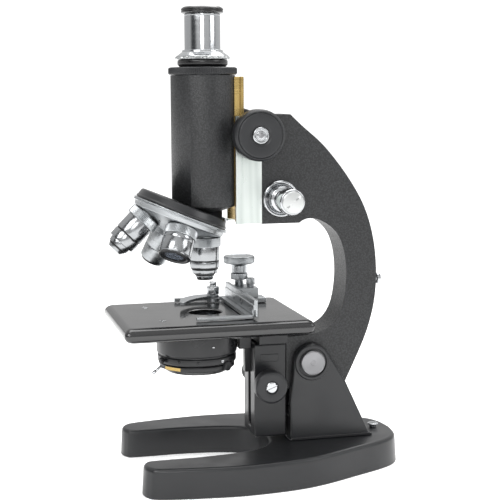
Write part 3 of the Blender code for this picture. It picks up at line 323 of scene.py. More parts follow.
def base_ring(height, inset):
    """The casting's outline at a height, drawn in by an inset along its own normals."""
    near_half = flowing(HALF_PLAN, 7)
    loop = near_half + [(x, -y) for x, y in reversed(near_half[1:-1])]
    ring = []
    for step, (x, y) in enumerate(loop):
        run = (Vector(loop[(step + 1) % len(loop)]) - Vector(loop[step - 1])).normalized()
        ring.append((AXIS_X + x - run.y * inset, y + run.x * inset, height))
    return ring


def block(name, low, high, material):
    """A plain block between two corners off the optical axis and the bench."""
    (x0, y0, z0), (x1, y1, z1) = low, high
    rings = [
        [(AXIS_X + x, y, z) for x, y in ((x0, y0), (x1, y0), (x1, y1), (x0, y1))] for z in (z0, z1)]
    return stacked(name, rings, material)


def horseshoe_faces(count, levels):
    """Quads round the sides, and across each prong on its top and underside."""
    faces = side_quads(count, levels)
    half = count // 2
    for first in (0, count * (levels - 1)):
        for step in range(half // 2):
            far_side = (step, step + 1, half - step - 1, half - step)
            near_side = ((count - step) % count, count - step - 1, half + step + 1, half + step)
            # At the prong's tip two corners meet, so the last face has three.
            faces += [
                [first + corner for corner in dict.fromkeys(side)] for side in (far_side, near_side)]
    return faces


base_rings = [base_ring(0, -BASE_DRAFT + 0.7), base_ring(0.7, -BASE_DRAFT)]
for step in range(7):
    bend = math.radians(15 * step)
    base_rings.append(base_ring(BASE_TOP - BASE_ROUND * (1 - math.sin(bend)),
                                BASE_ROUND * (1 - math.cos(bend))))
base = shell("horseshoe_casting", [point for ring in base_rings for point in ring],
             horseshoe_faces(len(base_rings[0]), len(base_rings)), stoved_enamel)
fitted(evened(base), "stand", "black_enamel", "base")

# ---------------------------------------------------------------- pillar and inclination joint
# The pillar is a forked casting bolted down on the base. The arm hangs between its ears on a steel
# axle, under a turned steel disc on each side, and each ear has a raised lip round its disc.

UP = (0, 0, 1)
NEAR = (0, -1, 0)
FAR = (0, 1, 0)
REAR = (1, 0, 0)
FRONT = (-1, 0, 0)


def squared(vector):
    """A turn that points local Z along a direction."""
    return Vector(vector).to_track_quat("Z", "Y").to_matrix().to_4x4()


def blunted(profile, ease):
    """A lathe outline with every corner cut back into a small three-point round."""
    drawn = []
    for step, corner in enumerate(profile):
        corner = Vector(corner)
        if corner.x == 0:
            drawn.append(corner)
            continue
        back = Vector(profile[step - 1]) - corner
        on = Vector(profile[(step + 1) % len(profile)]) - corner
        reach = min(ease, 0.4 * back.length, 0.4 * on.length)
        start = corner + back.normalized() * reach
        stop = corner + on.normalized() * reach
        drawn += [start, (start + stop + 2 * corner) / 4, stop]
    return drawn


def turned(name, profile, place, material, along=UP, ease=0.3, sides=96, ribs=0, rib_depth=0.35):
    """A lathe-turned piece from (radius, height) points. Ribs are a knurl cut in its widest band."""
    if ribs:
        sides = 2 * ribs
    outline = blunted(profile, ease)
    widest = max(point.x for point in outline)
    points = []
    rows = []
    for point in outline:
        if point.x == 0:
            rows.append([len(points)])
            points.append((0, 0, point.y))
            continue
        row = []
        for step in range(sides):
            turn = 2 * math.pi * step / sides
            radius = point.x
            if ribs and step % 2 and point.x > widest - 0.2:
                radius -= rib_depth
            row.append(len(points))
            points.append((radius * math.cos(turn), radius * math.sin(turn), point.y))
        rows.append(row)
    pairs = list(zip(rows, rows[1:]))
    if len(rows[0]) > 1:
        pairs.append((rows[-1], rows[0]))
    faces = []
    for first, second in pairs:
        for step in range(sides):
            after = (step + 1) % sides
            if len(first) == 1:
                faces.append((first[0], second[step], second[after]))
            elif len(second) == 1:
                faces.append((first[step], first[after], second[0]))
            else:
                faces.append((first[step], first[after], second[after], second[step]))
    made = shell(name, points, faces, material)
    made.matrix_world = Matrix.Translation(spot(*place)) @ squared(along)
    return made


def rod(name, radius, low, high, place, material, along=UP, sides=96):
    """A plain round bar, most often a tool that bores a hole, from one height to another."""
    profile = [(0, low), (radius, low), (radius, high), (0, high)]
    return turned(name, profile, place, material, along, ease=0, sides=sides)


def plate(name, outline, low, high, material):
    """A flat piece across the limb: an outline of (X, Z) points, from one Y to another."""
    rings = [[(AXIS_X + x, y, z) for x, z in outline] for y in (low, high)]
    return stacked(name, rings, material)


def bend_points(centre, radius, start, end, steps):
    """Points on an arc in degrees, both ends included."""
    turns = [math.radians(start + (end - start) * step / steps) for step in range(steps + 1)]
    return [(centre[0] + radius * math.cos(turn), centre[1] + radius * math.sin(turn))
            for turn in turns]


def machined(name, code, roughness, ring=0.7, contrast=0.1, metallic=1.0):
    """Bare metal with fine tool marks: streaks this far apart along the piece's own Z axis."""
    made = bpy.data.materials.new(name)
    made.use_nodes = True
    tree = made.node_tree
    surface = tree.nodes["Principled BSDF"]
    where = add(tree, "TexCoord").outputs["Object"]
    squeezed = add(tree, "Mapping", {"Vector": where, "Scale": (0.05, 0.05, 1.0)})
    marks = add(tree, "TexNoise",
                {"Vector": squeezed.outputs[0], "Scale": scale_for(ring), "Detail": 2.0})
    cloud = add(tree, "TexNoise", {"Vector": where, "Scale": scale_for(9), "Detail": 3.0})
    both = add(tree, "Math", {0: marks.outputs["Fac"], 1: cloud.outputs["Fac"]}, operation="ADD")
    rough = add(tree, "MapRange",
                {"Value": both.outputs[0], "From Min": 0.7, "From Max": 1.3,
                 "To Min": max(0.03, roughness - contrast), "To Max": roughness + contrast})
    tree.links.new(rough.outputs[0], surface.inputs["Roughness"])
    relief = add(tree, "Bump", {"Height": marks.outputs["Fac"], "Strength": 0.12,
                                "Distance": 0.02 * MM})
    tree.links.new(relief.outputs[0], surface.inputs["Normal"])
    surface.inputs["Base Color"].default_value = tint(code)
    surface.inputs["Metallic"].default_value = metallic
    return made


# Turned mild steel: grey, with the lathe's rings left in it, which stretch every glint sideways.
turned_steel = machined("turned_grey_steel", "#8b8b8d", 0.4)


def in_steel(node):
    """Gives a hidden shaft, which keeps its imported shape, the turned steel."""
    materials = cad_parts[node].data.materials
    materials.clear()
    materials.append(turned_steel)


PIVOT = (74, 0, 77.6)
AXLE_BORE = 4.8
EAR_RADIUS = 13.5
PILLAR_HALF = corners("pillar")[1].y
PILLAR_FOOT = corners("pillar")[0].z
ARM_HALF = corners("arm")[1].y
pillar_outline = [(57.8, PILLAR_FOOT), (57.8, 50), (59.4, 66)]
pillar_outline += bend_points((PIVOT[0], PIVOT[2]), EAR_RADIUS, 172, 30, 26)
pillar_outline += [(99.2, 62.4), (117.2, 23.6), (118.6, PILLAR_FOOT)]
pillar = plate("forked_pillar", pillar_outline, -PILLAR_HALF, PILLAR_HALF, stoved_enamel)
joined(pillar, block("fork_gap", (30, -ARM_HALF - 0.3, 38), (150, ARM_HALF + 0.3, 130), stoved_enamel),
       rod("fork_bore", AXLE_BORE, -40, 40, PIVOT, stoved_enamel, NEAR))
eased(pillar, 1.3, 4)
fitted(pillar, "stand", "black_enamel", "pillar")

foot = plate("pillar_foot_lip",
             [(57.2, PILLAR_FOOT), (57.2, 21.9), (58.6, 23.2), (117.6, 23.2), (119.6, 21.9),
              (119.6, PILLAR_FOOT)], -PILLAR_HALF - 0.7, PILLAR_HALF + 0.7, stoved_enamel)
joined(foot, block("foot_core", (60, -PILLAR_HALF + 1, 15), (116, PILLAR_HALF - 1, 30), stoved_enamel))
eased(foot, 0.5, 2)
fitted(foot, "stand", "black_enamel")

for side, along in (("near", NEAR), ("far", FAR)):
    lip = turned(f"ear_lip_{side}",
                 [(10.0, PILLAR_HALF - 0.3), (13.2, PILLAR_HALF - 0.3), (12.6, PILLAR_HALF + 1.1),
                  (10.4, PILLAR_HALF + 1.1)], PIVOT, stoved_enamel, along, ease=0.5)
    fitted(lip, "stand", "black_enamel")
    disc = turned(f"inclination_disc_{side}",
                  [(0, PILLAR_HALF + 0.3), (9.0, PILLAR_HALF + 0.3), (9.0, PILLAR_HALF + 2.0),
                   (8.4, PILLAR_HALF + 2.7), (7.9, PILLAR_HALF + 2.3), (2.0, PILLAR_HALF + 2.3),
                   (1.6, PILLAR_HALF + 2.0), (0, PILLAR_HALF + 2.0)], PIVOT, turned_steel, along,
                  ease=0.2)
    fitted(disc, "stand", "grey_steel", f"inclination_cap_{side}")
in_steel("inclination_axle")
in_steel("pillar_bolt")

# The heel screw and the screw in the arm's back are small chromed screws with a cut slot.
# Bright chrome: mid grey with soft-edged bands, since plate over turned brass is never quite a mirror.
chrome = machined("bright_chrome_plate", "#bcbec0", 0.15, ring=1.4, contrast=0.05)


def slotted(made, place, along, width, slot_turn=20):
    """Cuts a screwdriver slot across the end of a turned screw."""
    reach = made.dimensions.x / MM
    saw = bpy.data.meshes.new("saw")
    saw_edges = bmesh.new()
    bmesh.ops.create_cube(saw_edges, size=1, matrix=Matrix.Diagonal((3 * reach, width, 1.6, 1)))
    bmesh.ops.scale(saw_edges, vec=(MM, MM, MM), verts=saw_edges.verts)
    saw_edges.to_mesh(saw)
    saw_edges.free()
    tool = bpy.data.objects.new("saw", saw)
    bpy.context.scene.collection.objects.link(tool)
    tool.matrix_world = (Matrix.Translation(spot(*place)) @ squared(along)
                         @ Matrix.Rotation(math.radians(slot_turn), 4, "Z"))
    joined(made, tool)
    made.data.set_sharp_from_angle(angle=math.radians(38))
    return made


def beside(centre, along, radius, turn, height):
    """A place on a turned piece: this far from its axis, turned by degrees, at a height along it."""
    bend = math.radians(turn)
    reach = squared(along) @ Vector((radius * math.cos(bend), radius * math.sin(bend), height))
    return (centre[0] + reach.x, centre[1] + reach.y, centre[2] + reach.z)


heel_low, heel_high = corners("heel_screw")
HEEL = ((heel_low.x + heel_high.x) / 2 - AXIS_X, 0, heel_high.z)
heel_screw = turned("heel_screw",
                    [(0, -10.5), (1.9, -10.5), (1.9, -3.4), (2.6, -3.0), (2.6, -1.6), (3.4, -1.2),
                     (4.0, -0.9), (4.0, -0.2), (3.7, 0), (0, 0)], HEEL, chrome, ease=0.12, sides=48)
fitted(slotted(heel_screw, HEEL, UP, 0.8), "stand", "chrome", "heel_screw")

# ---------------------------------------------------------------- arm
# The arm is one C-shaped casting with rounded edges, hung on the joint between the pillar's ears. It is
# sprayed in a wrinkle enamel that dries to a fine hard grain, duller than the enamel on the base.


def wrinkled_with_painted_shade(name, code, roughness, grain, lift):
    """Wrinkle enamel: close-packed grains of this size, each a raised crown with painted shade darkening
    the crease round it.
    The real grain is about half a millimetre. It is drawn a little coarser, so that it shows."""
    made = bpy.data.materials.new(name)
    made.use_nodes = True
    tree = made.node_tree
    surface = tree.nodes["Principled BSDF"]
    where = add(tree, "TexCoord").outputs["Object"]
    bent = add(tree, "TexNoise", {"Vector": where, "Scale": scale_for(2.5 * grain), "Detail": 2.0})
    shift = add(tree, "VectorMath", {0: bent.outputs["Color"], "Scale": 0.7 * grain * MM},
                operation="SCALE")
    moved = add(tree, "VectorMath", {0: where, 1: shift.outputs[0]}, operation="ADD")
    grains = add(tree, "TexVoronoi", {"Vector": moved.outputs[0], "Scale": scale_for(grain)},
                 feature="SMOOTH_F1")
    grains.inputs["Smoothness"].default_value = 0.6
    crown = add(tree, "MapRange",
                {"Value": grains.outputs["Distance"], "From Min": 0.15, "From Max": 0.65, "To Min": 1.0,
                 "To Max": 0.0})
    # Painted shade: the colour runs from the enamel's own at each crown to near black in the crease round
    # it.
    colour = stops(add(tree, "ValToRGB", {0: crown.outputs[0]}), (0.0, "#161718"), (1.0, code))
    tree.links.new(colour, surface.inputs["Base Color"])
    shine = add(tree, "MapRange",
                {"Value": crown.outputs[0], "To Min": roughness + 0.12, "To Max": roughness})
    tree.links.new(shine.outputs[0], surface.inputs["Roughness"])
    relief = add(tree, "Bump", {"Height": crown.outputs[0], "Strength": 0.75, "Distance": lift * MM})
    tree.links.new(relief.outputs[0], surface.inputs["Normal"])
    return made


# Wrinkle enamel: matt charcoal at a distance, a crackle of crowns and creases close up, the creases
# darkened with painted shade.
wrinkle_enamel_painted_shade = wrinkled_with_painted_shade("wrinkle_black_enamel_painted_shade", "#2a2b2d", 0.38, 1.15, 0.12)

arm_back = flowing([(59.5, 254.6), (67.6, 247), (85.4, 231), (103.8, 207.4), (116.3, 184.2), (123, 157),
                    (123.6, 126), (116.8, 96.6), (101, 61.6)], 7)
arm_foot = flowing([(101, 61.6), (95, 51), (84, 46.5), (70, 48), (56.3, 60)], 5)
arm_inside = flowing([(70, 96.6), (80, 98.2), (90.5, 103.4), (97.6, 114), (100.9, 130.4), (100.9, 148),
                      (97.4, 163.5), (90.6, 173.6), (81, 179.6), (73, 180.9), (68.4, 179.6)], 6)
arm_outline = arm_back + arm_foot[1:] + [(56.3, 96.0)] + arm_inside
arm_outline += [(66, 178.0), (38.6, 178.0), (38.6, 254.6)]
arm = plate("arm_casting", arm_outline, -ARM_HALF, ARM_HALF, wrinkle_enamel_painted_shade)
FINE = (52, 0, 195.5)
joined(arm, rod("axle_bore", AXLE_BORE, -40, 40, PIVOT, wrinkle_enamel_painted_shade, NEAR),
       rod("fine_bore", 3.5, -40, 40, FINE, wrinkle_enamel_painted_shade, NEAR))
eased(arm, 2.6, 5, 40)
fitted(arm, "limb", "crackle_enamel", "arm")

back_low, back_high = corners("arm_back_screw")
BACK = (back_high.x - AXIS_X, 0, (back_low.z + back_high.z) / 2)
back_screw = turned("arm_back_screw",
                    [(0, -16.2), (2.4, -16.2), (2.4, -3.2), (3.8, -3.0), (4.1, -2.6), (4.1, -0.7),
                     (3.5, 0), (0, 0)], BACK, chrome, REAR, ease=0.12, sides=48)
fitted(slotted(back_screw, BACK, REAR, 0.9), "limb", "chrome", "arm_back_screw")
HEAD_SCREW = (46.5, -7, 255.6)
head_screw = turned("arm_head_screw",
                    [(0, -4), (1.1, -4), (1.1, -1.1), (1.9, -1.1), (1.9, -0.4), (1.3, 0), (0, 0)],
                    HEAD_SCREW, chrome, ease=0.1, sides=32)
fitted(slotted(head_screw, HEAD_SCREW, UP, 0.5), "limb", "chrome")

# ---------------------------------------------------------------- stage
# A thick square plate in polished black lacquer, rounded all along its edges, with the light hole in
# its middle and two plugged clip holes. A bracket in plain enamel carries it on the arm.

# Polished lacquer: deep black, and at a low angle it mirrors the white surroundings as pale grey.
lacquer = coated("polished_black_lacquer", "#141415", 0.15, 5.0, 0.012, gloss=0.9, uneven=0.035)

stage_low, stage_high = corners("stage_plate")
STAGE_TOP = stage_high.z
STAGE_EDGE = (stage_high.z - stage_low.z) / 2


def stage_ring(height, inset):
    """The plate's plan at a height, drawn in by an inset, with small round corners."""
    corner = 3.4
    ring = []
    for side_x, side_y, start in ((1, 1, 0), (-1, 1, 90), (-1, -1, 180), (1, -1, 270)):
        centre_x = (stage_high.x if side_x > 0 else stage_low.x) - side_x * (corner + inset)
        centre_y = side_y * (stage_high.y - corner - inset)
        arc = bend_points((centre_x, centre_y), corner, start, start + 90, 6)
        ring += [(x, y, height) for x, y in arc]
    return ring


stage_rings = []
for step in range(13):
    bend = math.radians(-90 + 15 * step)
    stage_rings.append(stage_ring(STAGE_TOP - STAGE_EDGE * (1 - math.sin(bend)),
                                  STAGE_EDGE * (1 - math.cos(bend))))
stage = stacked("stage_plate", stage_rings, lacquer)
joined(stage,
       turned("light_hole",
              [(0, 90), (12, 90), (12, STAGE_TOP - 0.7), (12.7, STAGE_TOP + 0.01), (12.7, 130),
               (0, 130)], (0, 0, 0), lacquer, ease=0))
fitted(evened(stage), "limb", "gloss_black", "stage_plate")
for number, (x, y) in enumerate(((-35.6, -26.7), (-38.6, 27.6))):
    plug = turned(f"clip_hole_ring_{number}",
                  [(1.5, STAGE_TOP - 0.5), (2.3, STAGE_TOP - 0.5), (2.3, STAGE_TOP + 0.2),
                   (1.7, STAGE_TOP + 0.35), (1.5, STAGE_TOP + 0.1)], (x, y, 0), chrome, ease=0.1,
                  sides=40)
    well = turned(f"clip_hole_well_{number}",
                  [(0, STAGE_TOP - 0.5), (1.6, STAGE_TOP - 0.5), (1.6, STAGE_TOP + 0.1),
                   (0, STAGE_TOP + 0.05)], (x, y, 0), stoved_enamel, ease=0.05, sides=40)
    for piece in (plug, well):
        fitted(piece, "limb", "gloss_black" if piece is well else "chrome")

bracket = block("stage_bracket", (34, -20, 99.1), (76, 20, 104.0), stoved_enamel)
joined(bracket, block("bracket_foot", (35, -19, 92.3), (56, 19, 102), stoved_enamel), how="UNION")
eased(bracket, 0.9, 3)
fitted(bracket, "limb", "black_enamel", "stage_bracket")

# ---------------------------------------------------------------- fine focus
# A chromed flange, held by three small screws, backs a stepped chrome knob on each side of the arm.
# The knob's end is a satin disc with two spanner holes.

# Satin aluminium: pale and even, faced on the lathe so that it scatters the lamps in a soft sheen.
satin_disc = machined("satin_aluminium_disc", "#cfd1d0", 0.36, ring=0.5, contrast=0.06)
for side, along in (("near", NEAR), ("far", FAR)):
    start = ARM_HALF + 0.3
    flange = turned(f"fine_flange_{side}",
                    [(3.5, start), (12.6, start), (13.0, start + 0.4), (13.0, start + 1.9),
                     (12.3, start + 2.6), (11.2, start + 2.6), (10.8, start + 1.7), (3.5, start + 1.7)],
                    FINE, chrome, along, ease=0.2)
    fitted(flange, "limb", "chrome", f"fine_flange_{side}")
    for number in range(3):
        place = beside(FINE, along, 10.1, 60 + 120 * number, start + 2.5)
        rivet = turned(f"flange_screw_{side}_{number}",
                       [(0, -1.2), (1.25, -1.2), (1.25, -0.3), (0.8, 0), (0, 0)],
                       place, turned_steel, along, ease=0.1, sides=28)
        fitted(slotted(rivet, place, along, 0.4, 50 * number), "limb", "chrome")
    face = -corners("fine_cap_near")[0].y
    knob = turned(f"fine_knob_{side}",
                  [(0, 25.5), (3.5, 25.5), (3.5, 17.2), (9.2, 17.2), (9.6, 17.6), (9.6, 21.6),
                   (8.9, 22.6), (6.9, 23.4), (6.9, 32.2), (8.7, 33.4), (9.0, 33.9), (9.0, face - 2.4),
                   (8.3, face - 1.5), (0, face - 1.5)], FINE, chrome, along, ease=0.25)
    fitted(knob, "fine_knob", "chrome", f"fine_knob_{side}")
    cap = turned(f"fine_cap_{side}",
                 [(0, face - 1.3), (7.5, face - 1.3), (7.5, face - 0.4), (7.1, face), (0, face)], FINE,
                 satin_disc, along, ease=0.12)
    hollows = []
    for turn in (40, 220):
        hollows.append(rod("spanner_hole", 0.6, face - 1.0, face + 2, beside(FINE, along, 4.2, turn, 0),
                           satin_disc, along, sides=24))
    fitted(joined(cap, *hollows), "fine_knob", "satin_aluminium", f"fine_cap_{side}")
in_steel("fine_shaft")

# ---------------------------------------------------------------- guide block
# A milled aluminium block slides on the arm's head for the fine focus. Its two cheeks hold the brass
# slide of the body tube, and the coarse pinion runs in a bore across it.

# Milled aluminium: pale, faintly green under the lamps, with upright cutter lines.
milled = bpy.data.materials.new("milled_aluminium")
milled.use_nodes = True
milled_tree = milled.node_tree
milled_surface = milled_tree.nodes["Principled BSDF"]
milled_where = add(milled_tree, "TexCoord").outputs["Object"]
milled_long = add(milled_tree, "Mapping", {"Vector": milled_where, "Scale": (1.0, 1.0, 0.04)})
milled_lines = add(milled_tree, "TexNoise",
                   {"Vector": milled_long.outputs[0], "Scale": scale_for(0.9), "Detail": 4.0})
milled_bands = add(milled_tree, "TexNoise",
                   {"Vector": milled_long.outputs[0], "Scale": scale_for(6), "Detail": 1.0})
milled_rough = add(milled_tree, "MapRange",
                   {"Value": milled_lines.outputs["Fac"], "From Min": 0.3, "From Max": 0.7,
                    "To Min": 0.26, "To Max": 0.46})
milled_tree.links.new(milled_rough.outputs[0], milled_surface.inputs["Roughness"])
milled_colour = stops(add(milled_tree, "ValToRGB", {0: milled_bands.outputs["Fac"]}), (0.35, "#b4bcb8"),
                      (0.5, "#ccd3cf"), (0.65, "#dde2df"))
milled_tree.links.new(milled_colour, milled_surface.inputs["Base Color"])
milled_relief = add(milled_tree, "Bump",
                    {"Height": milled_lines.outputs["Fac"], "Strength": 0.3, "Distance": 0.02 * MM})
milled_tree.links.new(milled_relief.outputs[0], milled_surface.inputs["Normal"])
milled_surface.inputs["Metallic"].default_value = 1.0

guide_low, guide_high = corners("guide_block")
COARSE = (32.6, 0, 240.8)
guide = block("guide_block", (19.9, -15, guide_low.z), (38.3, 15, guide_high.z), milled)
joined(guide, block("channel", (0, -12.3, 170), (26.7, 12.3, 260), milled),
       block("rack_groove", (20, -3.8, 170), (29.1, 3.8, 260), milled),
       rod("pinion_pocket", 4.5, -6, 6, COARSE, milled, NEAR),
       rod("pinion_bore", 2.9, -40, 40, COARSE, milled, NEAR))
eased(guide, 0.45, 3)
fitted(guide, "fine_slide", "satin_aluminium", "guide_block")

# ---------------------------------------------------------------- coarse focus
# Two moulded black knobs on a steel pinion. Each has a turned groove near its rim, and a chromed nut
# in a bright ring at its centre.

# Moulded phenolic: matt black with a weak sheen, faintly mottled where hands have rubbed it.
phenolic = coated("moulded_phenolic", "#202123", 0.42, 0.7, 0.02, gloss=0.45, uneven=0.07)


def gear(name, centre, root, tip, teeth, low, high, material, along):
    """A straight-toothed pinion: flat-topped teeth between two radii, from one height to another."""
    outline = []
    for tooth in range(teeth):
        for share, radius in ((0.0, root), (0.18, root), (0.36, tip), (0.64, tip), (0.82, root)):
            turn = 2 * math.pi * (tooth + share) / teeth
            outline.append((radius * math.cos(turn), radius * math.sin(turn)))
    made = stacked(name, [[(x, y, z) for x, y in outline] for z in (low, high)], material)
    made.matrix_world = Matrix.Translation(spot(*centre)) @ squared(along)
    return made


COARSE_FACE = corners("coarse_knob_far")[1].y
KNOB_BACK = COARSE_FACE - 12
for side, along in (("near", NEAR), ("far", FAR)):
    knob = turned(
        f"coarse_knob_{side}",
        [(0, KNOB_BACK + 7.3), (2.9, KNOB_BACK + 7.3), (2.9, 16), (6.6, 16), (6.6, KNOB_BACK - 0.6),
         (7.4, KNOB_BACK), (16.9, KNOB_BACK), (17.8, KNOB_BACK + 0.9), (17.8, COARSE_FACE - 2.2),
         (16.4, COARSE_FACE - 0.5), (15.9, COARSE_FACE - 0.5), (15.5, COARSE_FACE - 0.9),
         (15.1, COARSE_FACE - 0.2), (14.4, COARSE_FACE), (7.6, COARSE_FACE), (7.0, COARSE_FACE - 0.5),
         (6.1, COARSE_FACE - 0.5), (6.1, COARSE_FACE - 1.6), (0, COARSE_FACE - 1.6)], COARSE, phenolic,
        along, ease=0.18, sides=128)
    fitted(knob, "coarse_knob", "knob_plastic", f"coarse_knob_{side}")
    nut = turned(f"coarse_nut_{side}",
                 [(0, COARSE_FACE - 1.3), (5.8, COARSE_FACE - 1.3), (5.8, COARSE_FACE + 0.3),
                  (5.3, COARSE_FACE + 0.8), (4.5, COARSE_FACE + 0.8), (4.1, COARSE_FACE + 0.1),
                  (2.9, COARSE_FACE + 0.1), (2.6, COARSE_FACE + 0.5), (0, COARSE_FACE + 0.6)], COARSE,
                 chrome, along, ease=0.12)
    place = beside(COARSE, along, 0, 0, COARSE_FACE + 0.7)
    fitted(nut, "coarse_knob", "chrome", f"coarse_cap_{side}")
    screw = turned(f"coarse_nut_screw_{side}", [(0, -0.4), (1.9, -0.4), (1.9, 0), (1.3, 0.4), (0, 0.4)],
                   place, turned_steel, along, ease=0.1, sides=32)
    fitted(slotted(screw, place, along, 0.5), "coarse_knob", "chrome")
pinion_low, pinion_high = corners("coarse_pinion")
PINION_TIP = (pinion_high.z - pinion_low.z) / 2
coarse_pinion = gear("coarse_pinion", COARSE, PINION_TIP - 1.0, PINION_TIP, 14, -5, 5, turned_steel,
                     NEAR)
joined(coarse_pinion, rod("pinion_shaft", 2.6, -30, 30, COARSE, turned_steel, NEAR, sides=48),
       how="UNION")
fitted(coarse_pinion, "coarse_knob", "grey_steel", "coarse_pinion")

# ---------------------------------------------------------------- body tube
# A wide brass tube in the same wrinkle enamel as the arm, with a plain black foot. A knurled black ring
# closes its top, and a polished collar and a chromed cone guide the draw tube.

TUBE_RADIUS = (tube_high.y - tube_low.y) / 2
TUBE_TOP = tube_high.z
TUBE_FOOT = tube_low.z
NOSE_TILT = math.radians(22.25)
NOSE_UP = (math.sin(NOSE_TILT), 0, math.cos(NOSE_TILT))
APEX = (0, 0, 227)
tube = turned("body_tube",
              [(9.0, TUBE_FOOT), (13.4, TUBE_FOOT), (TUBE_RADIUS - 0.8, TUBE_FOOT + 3.0),
               (TUBE_RADIUS, TUBE_FOOT + 4.0), (TUBE_RADIUS, TUBE_TOP), (19.5, TUBE_TOP), (19.5, 204),
               (9.0, 200)], (0, 0, 0), wrinkle_enamel_painted_shade, ease=0.5, sides=144)
joined(tube, rod("foot_trim", 54, -97.5, -37.2, APEX, wrinkle_enamel_painted_shade, NOSE_UP))
fitted(tube, "tube", "crackle_enamel", "body_tube")

ring = turned("knurled_tube_ring",
              [(19.5, TUBE_TOP + 0.3), (23.2, TUBE_TOP + 0.3), (23.6, TUBE_TOP + 0.8),
               (24.0, TUBE_TOP + 1.1), (24.0, TUBE_TOP + 4.6), (23.6, TUBE_TOP + 4.9),
               (22.6, TUBE_TOP + 5.4), (15.5, TUBE_TOP + 5.4), (15.5, TUBE_TOP + 2),
               (19.5, TUBE_TOP + 2)], (0, 0, 0), phenolic, ease=0.1, ribs=118, rib_depth=0.4)
fitted(ring, "tube", "knob_plastic", "tube_ring")

# Polished black collar: hard rubber buffed until each lamp shows in it as a soft round glint.
buffed_black = coated("buffed_black_ebonite", "#141415", 0.2, 4.0, 0.01, gloss=0.6, uneven=0.04)
collar_low, collar_high = corners("tube_collar")
collar = turned("tube_collar",
                [(12.8, collar_low.z), (16.3, collar_low.z), (16.6, collar_low.z + 0.8),
                 (17.5, collar_low.z + 1.4), (17.5, collar_high.z - 0.9), (16.8, collar_high.z),
                 (12.8, collar_high.z)], (0, 0, 0), buffed_black, ease=0.4)
fitted(collar, "tube", "knob_plastic", "tube_collar")


def sparkling(name, code, roughness, pitch):
    """Chrome over a fine diamond knurl: crossed cuts this far apart, too fine to cut in the mesh, with
    painted shade darkening the cuts.
    """
    made = machined(name, code, roughness, contrast=0.05)
    tree = made.node_tree
    surface = tree.nodes["Principled BSDF"]
    where = add(tree, "TexCoord").outputs["Object"]
    cuts = add(tree, "TexVoronoi", {"Vector": where, "Scale": scale_for(pitch)}, feature="F1",
               distance="CHEBYCHEV")
    relief = add(tree, "Bump",
                 {"Height": cuts.outputs["Distance"], "Strength": 0.9, "Distance": 0.35 * MM})
    tree.links.new(relief.outputs[0], surface.inputs["Normal"])
    # Painted shade: the colour falls from the chrome's own at each point to a darker grey towards the
    # cuts.
    shade = stops(add(tree, "ValToRGB", {0: cuts.outputs["Distance"]}), (0.1, code), (0.75, "#8e9091"))
    tree.links.new(shade, surface.inputs["Base Color"])
    return made


# Knurled chrome: bright points between cuts darkened with painted shade, which sparkle round the edge of
# the cone.
knurled_chrome_painted_cut_shade = sparkling("knurled_chrome_painted_cut_shade", "#d2d4d4", 0.22, 0.9)
cone_low, cone_high = corners("draw_tube_ring")
skirt = turned("cone_skirt",
               [(12.8, cone_low.z), (18.6, cone_low.z), (19.0, cone_low.z + 0.3),
                (19.0, cone_low.z + 1.5), (18.4, cone_low.z + 1.8), (12.8, cone_low.z + 1.8)],
               (0, 0, 0), knurled_chrome_painted_cut_shade, ease=0.15, ribs=96, rib_depth=0.35)
cone = turned("chrome_cone",
              [(12.8, cone_low.z + 1.82), (18.3, cone_low.z + 1.82), (18.0, cone_low.z + 2.2),
               (15.6, cone_high.z - 2.3), (14.4, cone_high.z - 1.6), (14.2, cone_high.z - 0.4),
               (13.8, cone_high.z), (12.8, cone_high.z)], (0, 0, 0), chrome, ease=0.4)
fitted(skirt, "tube", "chrome")
fitted(cone, "tube", "chrome", "draw_tube_ring")

# The dovetail slide on the tube's back is aged brass, and the rack screwed behind it is cut brass.
# Aged brass: dull gold, with darker patches where the lacquer has gone and drawn lines along it.
aged_brass = machined("aged_brass", "#b39a62", 0.3, ring=1.0, contrast=0.1)
slide_low, slide_high = corners("tube_slide")
SADDLE_TURN = 30.5
slide_plan = bend_points((0, 0), TUBE_RADIUS + 0.2, -SADDLE_TURN, SADDLE_TURN, 14)
for side in (1, -1):
    groove = [(23.4, 12.0), (23.4, 11.5), (24.1, 11.5), (24.1, 12.0), (26.4, 12.0)]
    slide_plan += [(x, side * y) for x, y in groove[::side]]
slide = stacked("dovetail_slide",
                [[(AXIS_X + x, y, z) for x, y in slide_plan] for z in (slide_low.z, slide_high.z)],
                aged_brass)
eased(slide, 0.3, 2, 20)
fitted(slide, "tube", "brass", "tube_slide")
rack_low, rack_high = corners("coarse_rack")
TOOTH = 2 * math.pi * (PINION_TIP - 0.5) / 14
rack_outline = [(26.7, rack_low.z), (26.7, rack_high.z)]
height = rack_high.z
while height - TOOTH > rack_low.z:
    rack_outline += [(27.9, height), (27.9, height - 0.2 * TOOTH), (28.8, height - 0.42 * TOOTH),
                     (28.8, height - 0.62 * TOOTH), (27.9, height - 0.84 * TOOTH)]
    height -= TOOTH
rack_outline.append((27.9, rack_low.z))
rack = plate("coarse_rack", rack_outline, -3.5, 3.5, aged_brass)
fitted(rack, "tube", "brass", "coarse_rack")

# ---------------------------------------------------------------- draw tube and eyepiece
# A thin chromed tube with two fine scale rings, and a plain drop-in eyepiece: a chromed barrel
# under a black cap with two turned grooves, and a lens at each end.

